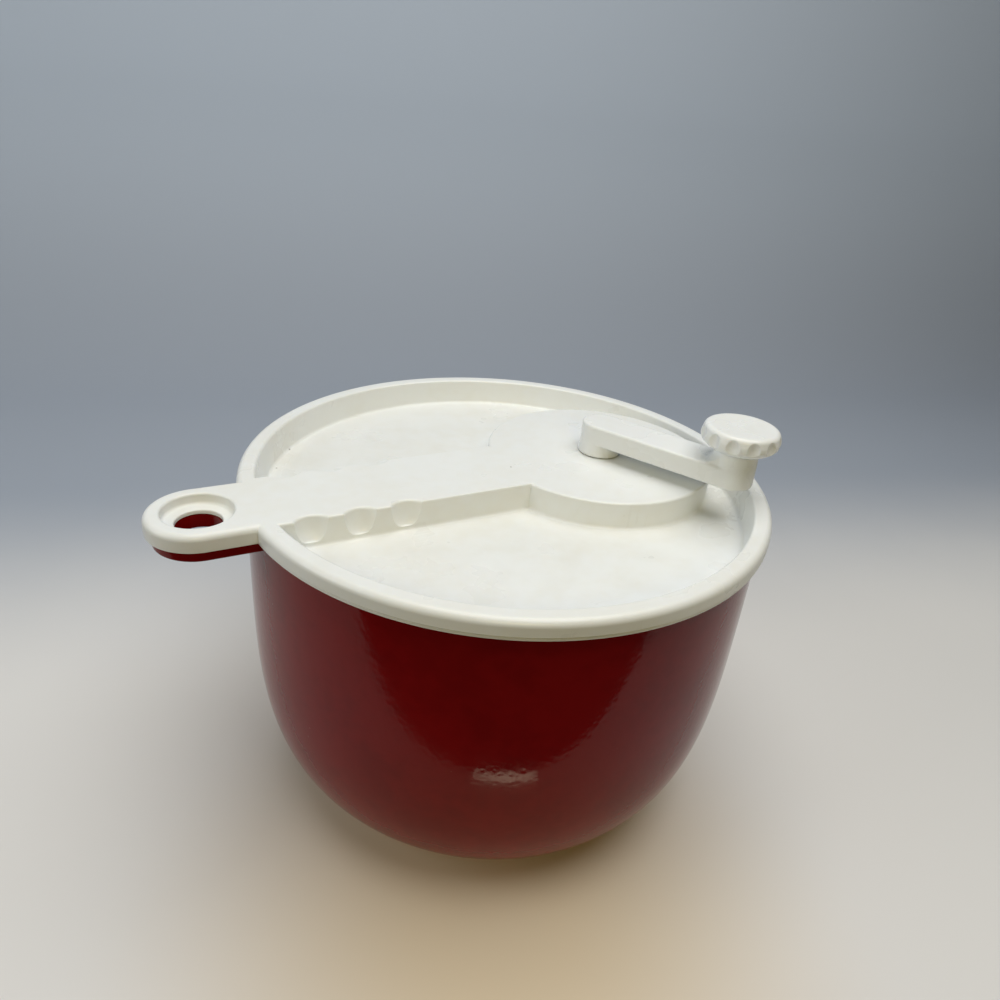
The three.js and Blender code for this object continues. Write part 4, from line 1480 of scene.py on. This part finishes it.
# ------------------------------------------------------------------ basket, driver and gear cover
@dataclass(frozen=True)
class Basket:
    """The slotted basket."""

    levels: Levels
    radius: float = 112.1
    wall: float = 2.0
    belly: float = 133.0
    base: float = 54.0
    curve: float = 4.0
    rim: float = 4.0
    rim_height: float = 6.0
    hub: float = 7.35
    hub_top: float = 21.0
    hub_wall: float = 2.4
    slots: int = 24
    slot_rows: int = 2
    slot_low: float = 34.0
    slot_gap: float = 8.0
    slot_width: float = 4.0
    floor_slots: int = 12
    floor_slot_inner: float = 18.0
    floor_slot_margin: float = 10.0
    lugs: int = 4
    notch_half: float = 4.5
    notch_depth: float = 4.0

    def build(self) -> bpy.types.Object:
        """Turns the shell and cuts its slots and notches.

        Returns:
            The basket.
        """
        low, top = self.levels.basket_low, self.levels.basket_top
        inner = self.radius - self.wall
        floor = low + self.wall
        rim_low = top - self.rim_height
        reach = self.radius + self.rim
        profile = [
            (self.hub, low),
            *cup(self.radius, self.belly, self.base, low, self.curve, 30),
            (self.radius, rim_low - 0.6),
            *arc(self.radius + 0.6, rim_low - 0.6, 0.6, 180, 100, 3)[1:],
            (reach - 1, rim_low + 1.2),
            *arc(reach - 1, rim_low + 2.2, 1.0, 290, 360, 4),
            *arc(reach - 1, top - 1, 1.0, 0, 90, 4),
            *arc(inner + 1, top - 1, 1.0, 90, 180, 4),
            *reversed(cup(inner, self.belly, self.base - 1, floor, self.curve, 30)),
            (self.hub + self.hub_wall + 1.5, floor),
            *arc(self.hub + self.hub_wall + 1.5, floor + 1.5, 1.5, 270, 180, 4)[1:],
            (self.hub + self.hub_wall, self.hub_top - 0.4),
            (self.hub + self.hub_wall - 0.4, self.hub_top),
            (self.hub, self.hub_top),
        ]
        shell = Bench.turned("basket_shell", profile, facets=192)
        start = low + self.slot_low
        row = (rim_low - start) / self.slot_rows
        for index in range(self.slot_rows):
            bottom = start + index * row
            slot = self._slot((self.base, reach + 1), bottom, bottom + row - self.slot_gap)
            Bench.cut(shell, Bench.around(slot, self.slots))
        half = self.slot_width / 2
        ends = (self.floor_slot_inner + half, self.base - self.floor_slot_margin - half)
        floor_slot = Bench.capsule("floor_slot", ends, half, low - 1, floor + 1, 32)
        Bench.cut(shell, Bench.around(floor_slot, self.floor_slots))
        near = (inner - 1, -self.notch_half, top - self.notch_depth)
        notch = Bench.block("notch", near, (reach + 1, self.notch_half, top + 1))
        Bench.cut(shell, Bench.around(notch, self.lugs, math.pi / self.lugs))
        Bench.tidy(shell)
        Bench.shade(shell, 34)
        return shell

    def _slot(self, span: Pair, low: float, high: float) -> bpy.types.Object:
        """One round-ended slot cutter through the wall, pointing along X.

        Args:
            span: Radii between which it reaches.
            low: Height of the slot's lower end.
            high: Height of its upper end.

        Returns:
            The cutter.
        """
        half = self.slot_width / 2
        Bench.clear()
        bpy.ops.mesh.primitive_cylinder_add(
            vertices=24,
            radius=half * MM,
            depth=(span[1] - span[0]) * MM,
            location=((span[0] + span[1]) / 2 * MM, 0, (low + half) * MM),
            rotation=(0, math.pi / 2, 0),
        )
        slot = Bench.settle("slot")
        Bench.pick(slot, "VERT", lambda p: p.z > low + half)
        bpy.ops.transform.translate(value=(0, 0, (high - low - 2 * half) * MM))
        bpy.ops.object.mode_set(mode="OBJECT")
        return slot

    def dress(self, paints: Paints) -> None:
        """Builds the basket and hands it over in its finish."""
        hand_over(self.build(), "basket", "basket", paints.inside)


@dataclass(frozen=True)
class GearCover:
    """The cover under the gears."""

    levels: Levels
    wall: float = 2.0
    channel: float = 16.6
    bush: float = 6.7
    pillars: tuple[Pair, ...] = ()

    def build(self) -> bpy.types.Object:
        """Makes the cover as a shallow tray.

        Returns:
            The cover.
        """
        low, top, x = self.levels.cover_low, self.levels.cover_top, self.levels.crank_x
        floor = low + self.wall
        inner, end = self.levels.paddle_inner, self.levels.box_end
        arm = self.channel + self.wall
        body = Bench.post("cover", inner + self.wall, low, top, (x, 0), 192)
        Bench.add(body, Bench.block("cover_arm", (end - self.wall, -arm, low), (x, arm, top)))
        Bench.cut(
            body,
            Bench.post("cover_hollow", inner, floor, top + 1, (x, 0), 192),
            Bench.block("arm_hollow", (end, -self.channel, floor), (x, self.channel, top + 1)),
        )
        Bench.add(body, Bench.post("ring", self.bush + 2.5, low, floor + 2.5))
        Bench.cut(body, Bench.post("bush_bore", self.bush, low - 1, top))
        for place in self.pillars:
            Bench.cut(body, Bench.post("screw_bore", self.levels.screw_hole, low - 1, top, place))
        Bench.tidy(body)
        Bench.shade(body, 34)
        return body

    def dress(self, paints: Paints) -> None:
        """Builds the cover and hands it over in its finish."""
        hand_over(self.build(), "gear_cover", "lid", paints.inside)


@dataclass(frozen=True)
class BasketDriver:
    """The spoked wheel whose lugs turn the basket."""

    levels: Levels
    radius: float = 108.1
    ring: float = 8.0
    flange: float = 2.0
    flange_depth: float = 5.0
    thickness: float = 2.5
    hub: float = 10.2
    hub_rise: float = 1.4
    hex_room: float = 4.45
    spokes: int = 6
    spoke_width: float = 10.0
    lugs: int = 4
    lug_width: float = 8.0
    lug_reach: float = 115.1

    def build(self) -> bpy.types.Object:
        """Makes the ring, hub, spokes and lugs and joins them.

        Returns:
            The driver.
        """
        top = self.levels.driver_hub_top - self.hub_rise
        low = top - self.thickness
        inner = self.radius - self.ring
        rim_in = self.radius - self.flange
        foot = low - self.flange_depth
        ring = [
            (inner, low + 0.4),
            (inner + 0.4, low),
            (rim_in, low),
            (rim_in, foot),
            (self.radius - 0.4, foot),
            (self.radius, foot + 0.4),
            (self.radius, top - 0.6),
            (self.radius - 0.6, top),
            (inner + 0.6, top),
            (inner, top - 0.6),
        ]
        body = Bench.turned("driver_ring", ring)
        half = self.spoke_width / 2
        spoke = Bench.block("spoke", (self.hub - 2, -half, low), (inner + 2, half, top))
        Bench.round_rim(spoke, top, 0.7, 3)
        half = self.lug_width / 2
        lug = Bench.block("lug", (rim_in, -half, low), (self.lug_reach, half, top))
        Bench.round_rim(lug, top, 0.6, 3)
        Bench.add(body, Bench.around(spoke, self.spokes))
        Bench.add(body, Bench.around(lug, self.lugs, math.pi / self.lugs))
        hub_top = self.levels.driver_hub_top
        hub = [
            (0, low - 2.5),
            (self.hub - 0.4, low - 2.5),
            (self.hub, low - 2.1),
            (self.hub, hub_top - 0.4),
            (self.hub - 0.4, hub_top),
            (0, hub_top),
        ]
        Bench.add(body, Bench.turned("driver_hub", hub, facets=72))
        Bench.cut(body, Bench.post("hex", self.hex_room, self.levels.driver_low - 9, hub_top + 1, facets=6))
        Bench.tidy(body)
        Bench.shade(body, 34)
        return body

    def dress(self, paints: Paints) -> None:
        """Builds the driver and hands it over in its finish."""
        hand_over(self.build(), "basket_driver", "driver", paints.inside)


@dataclass(frozen=True)
class Hardware:
    """Shafts, gears, bushes and screws, which keep their own meshes."""

    nylon: tuple[str, ...] = (
        "basket_bearing", "crank_bush", "spindle_bush", "drive_gear", "knob_pin", "pinion",
    )
    steel: tuple[str, ...] = (
        "bowl_pivot_pin", "bearing_ring", "crank_shaft", "gear_washer", "gear_screw", "spindle",
        "driver_washer", "driver_screw", "cover_screw_1", "cover_screw_2", "cover_screw_3",
        "cover_screw_4", "cover_screw_5", "cover_screw_6",
    )

    def dress(self, paints: Paints) -> None:
        """Puts the finishes on the nodes that stay.

        Args:
            paints: The materials.
        """
        for names, paint in ((self.nylon, paints.nylon), (self.steel, paints.steel)):
            for name in names:
                node = frame["nodes"][name]
                node.data.materials.clear()
                node.data.materials.append(paint)
                LOG.info("%s: dressed", name)


# ------------------------------------------------------------------ studio
@dataclass(frozen=True)
class Lamp:
    """A soft oval light: its place and size in metres, its power in watts, its colour."""

    name: str
    place: tuple[float, float, float]
    size: Pair
    power: float
    colour: Colour

    def hang(self, aim: Vector) -> None:
        """Adds the light to the scene.

        Args:
            aim: Where it points.
        """
        data = bpy.data.lights.new(self.name, "AREA")
        data.shape = "ELLIPSE"
        data.size, data.size_y = self.size
        data.energy = self.power
        data.color = self.colour
        lamp = bpy.data.objects.new(self.name, data)
        lamp.location = self.place
        lamp.rotation_mode = "QUATERNION"
        lamp.rotation_quaternion = (aim - Vector(self.place)).to_track_quat("-Z", "Y")
        bpy.context.scene.collection.objects.link(lamp)


@dataclass(frozen=True)
class Studio:
    """Floor, wall, lights and camera."""

    centre: Vector = Vector((-0.17641, -0.30091, 0.341))
    right: Vector = Vector((0.88428, -0.45901, 0.08577))
    down: Vector = Vector((-0.14962, -0.45252, -0.87911))
    lens: float = 28.233
    sensor: float = 36.0
    horizon: float = 400.0
    brink: float = 1135.0
    bend: float = 0.30
    width: float = 4.0
    wall: float = 1.5
    # where the yellowish pool of painted light lies on the floor, as a place in the picture
    painted_light_spot: Pair = (500.0, 930.0)
    # floor front (painted light), floor, floor further back (painted shade), wall
    floor_tones_with_painted_light: tuple[Colour, Colour, Colour, Colour] = (
        (0.74, 0.62, 0.44), (0.76, 0.75, 0.735), (0.37, 0.41, 0.475), (0.53, 0.60, 0.70),
    )
    aim: Vector = Vector((0, 0, 0.12))
    lamps: tuple[Lamp, ...] = (
        Lamp("overhead", (0.08, -0.15, 1.2), (1.13, 1.13), 10.9, (1.0, 0.995, 0.98)),
        Lamp("window", (-1.3, 0.2, 0.75), (0.9, 0.9), 4.8, (0.93, 0.97, 1.0)),
        Lamp("front", (-0.5, -1.35, 0.9), (0.4, 0.4), 3.7, (1.0, 0.80, 0.26)),
        Lamp("glint", (-0.073, -0.184, 0.001), (0.07, 0.009), 0.008, (1.0, 0.86, 0.62)),
    )

    def axes(self) -> tuple[Vector, Vector, Vector]:
        """The camera's own directions.

        Returns:
            Right, forward and up.
        """
        right = self.right.normalized()
        forward = right.cross(self.down).normalized() * -1
        if forward.z > 0:
            forward.negate()
        return right, forward, right.cross(forward).normalized()

    def camera(self) -> None:
        """Sets up the camera at the object's usual viewing place."""
        data = bpy.data.cameras.new("camera")
        data.lens = self.lens
        data.sensor_width = self.sensor
        data.sensor_fit = "HORIZONTAL"
        data.clip_start = 0.01
        camera = bpy.data.objects.new("camera", data)
        bpy.context.scene.collection.objects.link(camera)
        right, forward, up = self.axes()
        turn = camera.matrix_world.to_3x3()
        turn.col[0], turn.col[1], turn.col[2] = right, up, -forward
        camera.matrix_world = turn.to_4x4()
        camera.location = self.centre
        bpy.context.scene.camera = camera

    def ray(self, across: float, down: float) -> Vector:
        """Direction of a sight line through the picture, in parts of a thousand.

        Args:
            across: Place across the picture, 0 to 1000.
            down: Place down the picture, 0 to 1000.

        Returns:
            The direction, not unit length.
        """
        focal = self.lens / self.sensor * 1000
        right, forward, up = self.axes()
        return forward * focal + right * (across - 500) - up * (down - 500)

    def spot(self, across: float, down: float) -> Vector:
        """Where a sight line through the picture meets the floor.

        Args:
            across: Place across the picture, 0 to 1000.
            down: Place down the picture, 0 to 1000.

        Returns:
            The point on the floor.
        """
        way = self.ray(across, down)
        return self.centre + way * (-self.centre.z / way.z)

    def room(self) -> None:
        """Makes the floor and the wall as one sheet with a soft bend."""
        left, right = self.spot(0, self.horizon), self.spot(1000, self.horizon)
        along = (right - left).normalized()
        back = Vector((-along.y, along.x, 0))
        near_left, near_right = self.spot(0, self.brink), self.spot(1000, self.brink)
        near = (near_left + near_right) / 2
        deep = (left - near).dot(back)
        Bench.clear()
        bpy.ops.mesh.primitive_plane_add(size=1, location=near + back * deep / 2)
        sheet = bpy.context.object
        sheet.scale = (self.width, deep, 1)
        sheet.rotation_euler = (0, 0, math.atan2(along.y, along.x))
        Bench.settle("room_sheet")
        turn = along.angle(near_right - near_left)
        Bench.pick(sheet, "VERT", lambda p: (Vector(p * MM) - near).dot(back) < deep / 2)
        bpy.ops.transform.rotate(value=turn, orient_axis="Z", orient_type="GLOBAL", center_override=near)
        bpy.ops.object.mode_set(mode="OBJECT")
        Bench.pick(sheet, "VERT", lambda p: (Vector(p * MM) - left).dot(back) > -1e-4)
        steps = 12
        for index in range(steps):
            a0, a1 = (math.pi / 2 * k / steps for k in (index, index + 1))
            out = self.bend * (math.sin(a1) - math.sin(a0))
            rise = self.bend * (math.cos(a0) - math.cos(a1))
            bpy.ops.mesh.extrude_region_move(TRANSFORM_OT_translate={"value": (*(back * out).xy, rise)})
        bpy.ops.mesh.extrude_region_move(TRANSFORM_OT_translate={"value": (0, 0, self.wall)})
        bpy.ops.object.mode_set(mode="OBJECT")
        Bench.grab(sheet)
        bpy.ops.object.shade_smooth()
        sheet.data.materials.append(self._sheet_paint(back))

    def _sheet_paint(self, back: Vector) -> bpy.types.Material:
        """Pale floor with painted light: a yellowish pool of painted light in front and darker, bluer
        painted shade further back; it turns into a cool wall.

        Args:
            back: The level direction away from the camera.

        Returns:
            The material.
        """
        material, sketch, shader = Sketch.blank("room_paint")
        place = sketch.place()
        along = sketch.node("ShaderNodeVectorMath", {0: place, 1: back}, operation="DOT_PRODUCT")
        depth = sketch.maths("SUBTRACT", along.outputs["Value"], 0.025)
        waver = sketch.maths("MULTIPLY_ADD", sketch.noise(place, 6.0, 3.0), 0.05, depth)
        # painted light: the floor is yellower and lighter in a pool in front, and darker and bluer further
        # back as painted shade
        centre = self.spot(*self.painted_light_spot)
        apart = sketch.node("ShaderNodeVectorMath", {0: place, 1: centre}, operation="DISTANCE")
        height = sketch.node("ShaderNodeSeparateXYZ", {0: place}).outputs[2]
        painted_warm_light, middle, painted_shade_behind, wall = self.floor_tones_with_painted_light
        colour = sketch.mix(sketch.ramp(apart.outputs["Value"], 0.02, 0.19), painted_warm_light, middle)
        colour = sketch.mix(sketch.ramp(waver, 0.05, 0.34), colour, painted_shade_behind)
        colour = sketch.mix(sketch.ramp(height, 0.0, 0.35), colour, wall)
        sketch.wire(shader, {"Base Color": colour, "Roughness": 0.75})
        return material

    def light(self) -> None:
        """Hangs the lights and sets the soft surroundings."""
        world = bpy.data.worlds.new("surroundings")
        world.use_nodes = True
        fill = world.node_tree.nodes["Background"]
        fill.inputs[0].default_value = (0.93, 0.96, 1.0, 1.0)
        fill.inputs[1].default_value = 0.05
        bpy.context.scene.world = world
        for lamp in self.lamps:
            lamp.hang(self.aim)
        bpy.context.scene.view_settings.view_transform = "Standard"

    def build(self) -> None:
        """Makes the whole studio."""
        self.camera()
        self.room()
        self.light()


def pillars() -> tuple[Pair, ...]:
    """Reads the centres of the six screw pillars from the screws.

    Returns:
        (x, y) of each pillar, in millimetres.
    """
    boxes = [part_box(f"cover_screw_{index}") for index in range(1, 7)]
    return tuple(((low.x + high.x) / 2 / MM, (low.y + high.y) / 2 / MM) for low, high in boxes)


def main() -> None:
    """Builds every piece in order."""
    logging.basicConfig(level=logging.INFO, format="%(name)s: %(message)s")
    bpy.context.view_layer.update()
    levels = Levels.measured()
    paints = Paints(levels)
    posts = pillars()
    makers = (
        Bowl(levels),
        Lid(levels, pillars=posts),
        Crank(levels),
        Knob(levels),
        Basket(levels),
        GearCover(levels, pillars=posts),
        BasketDriver(levels),
        Hardware(),
    )
    for maker in makers:
        maker.dress(paints)
    Studio().build()


if __name__ == "__main__":
    main()
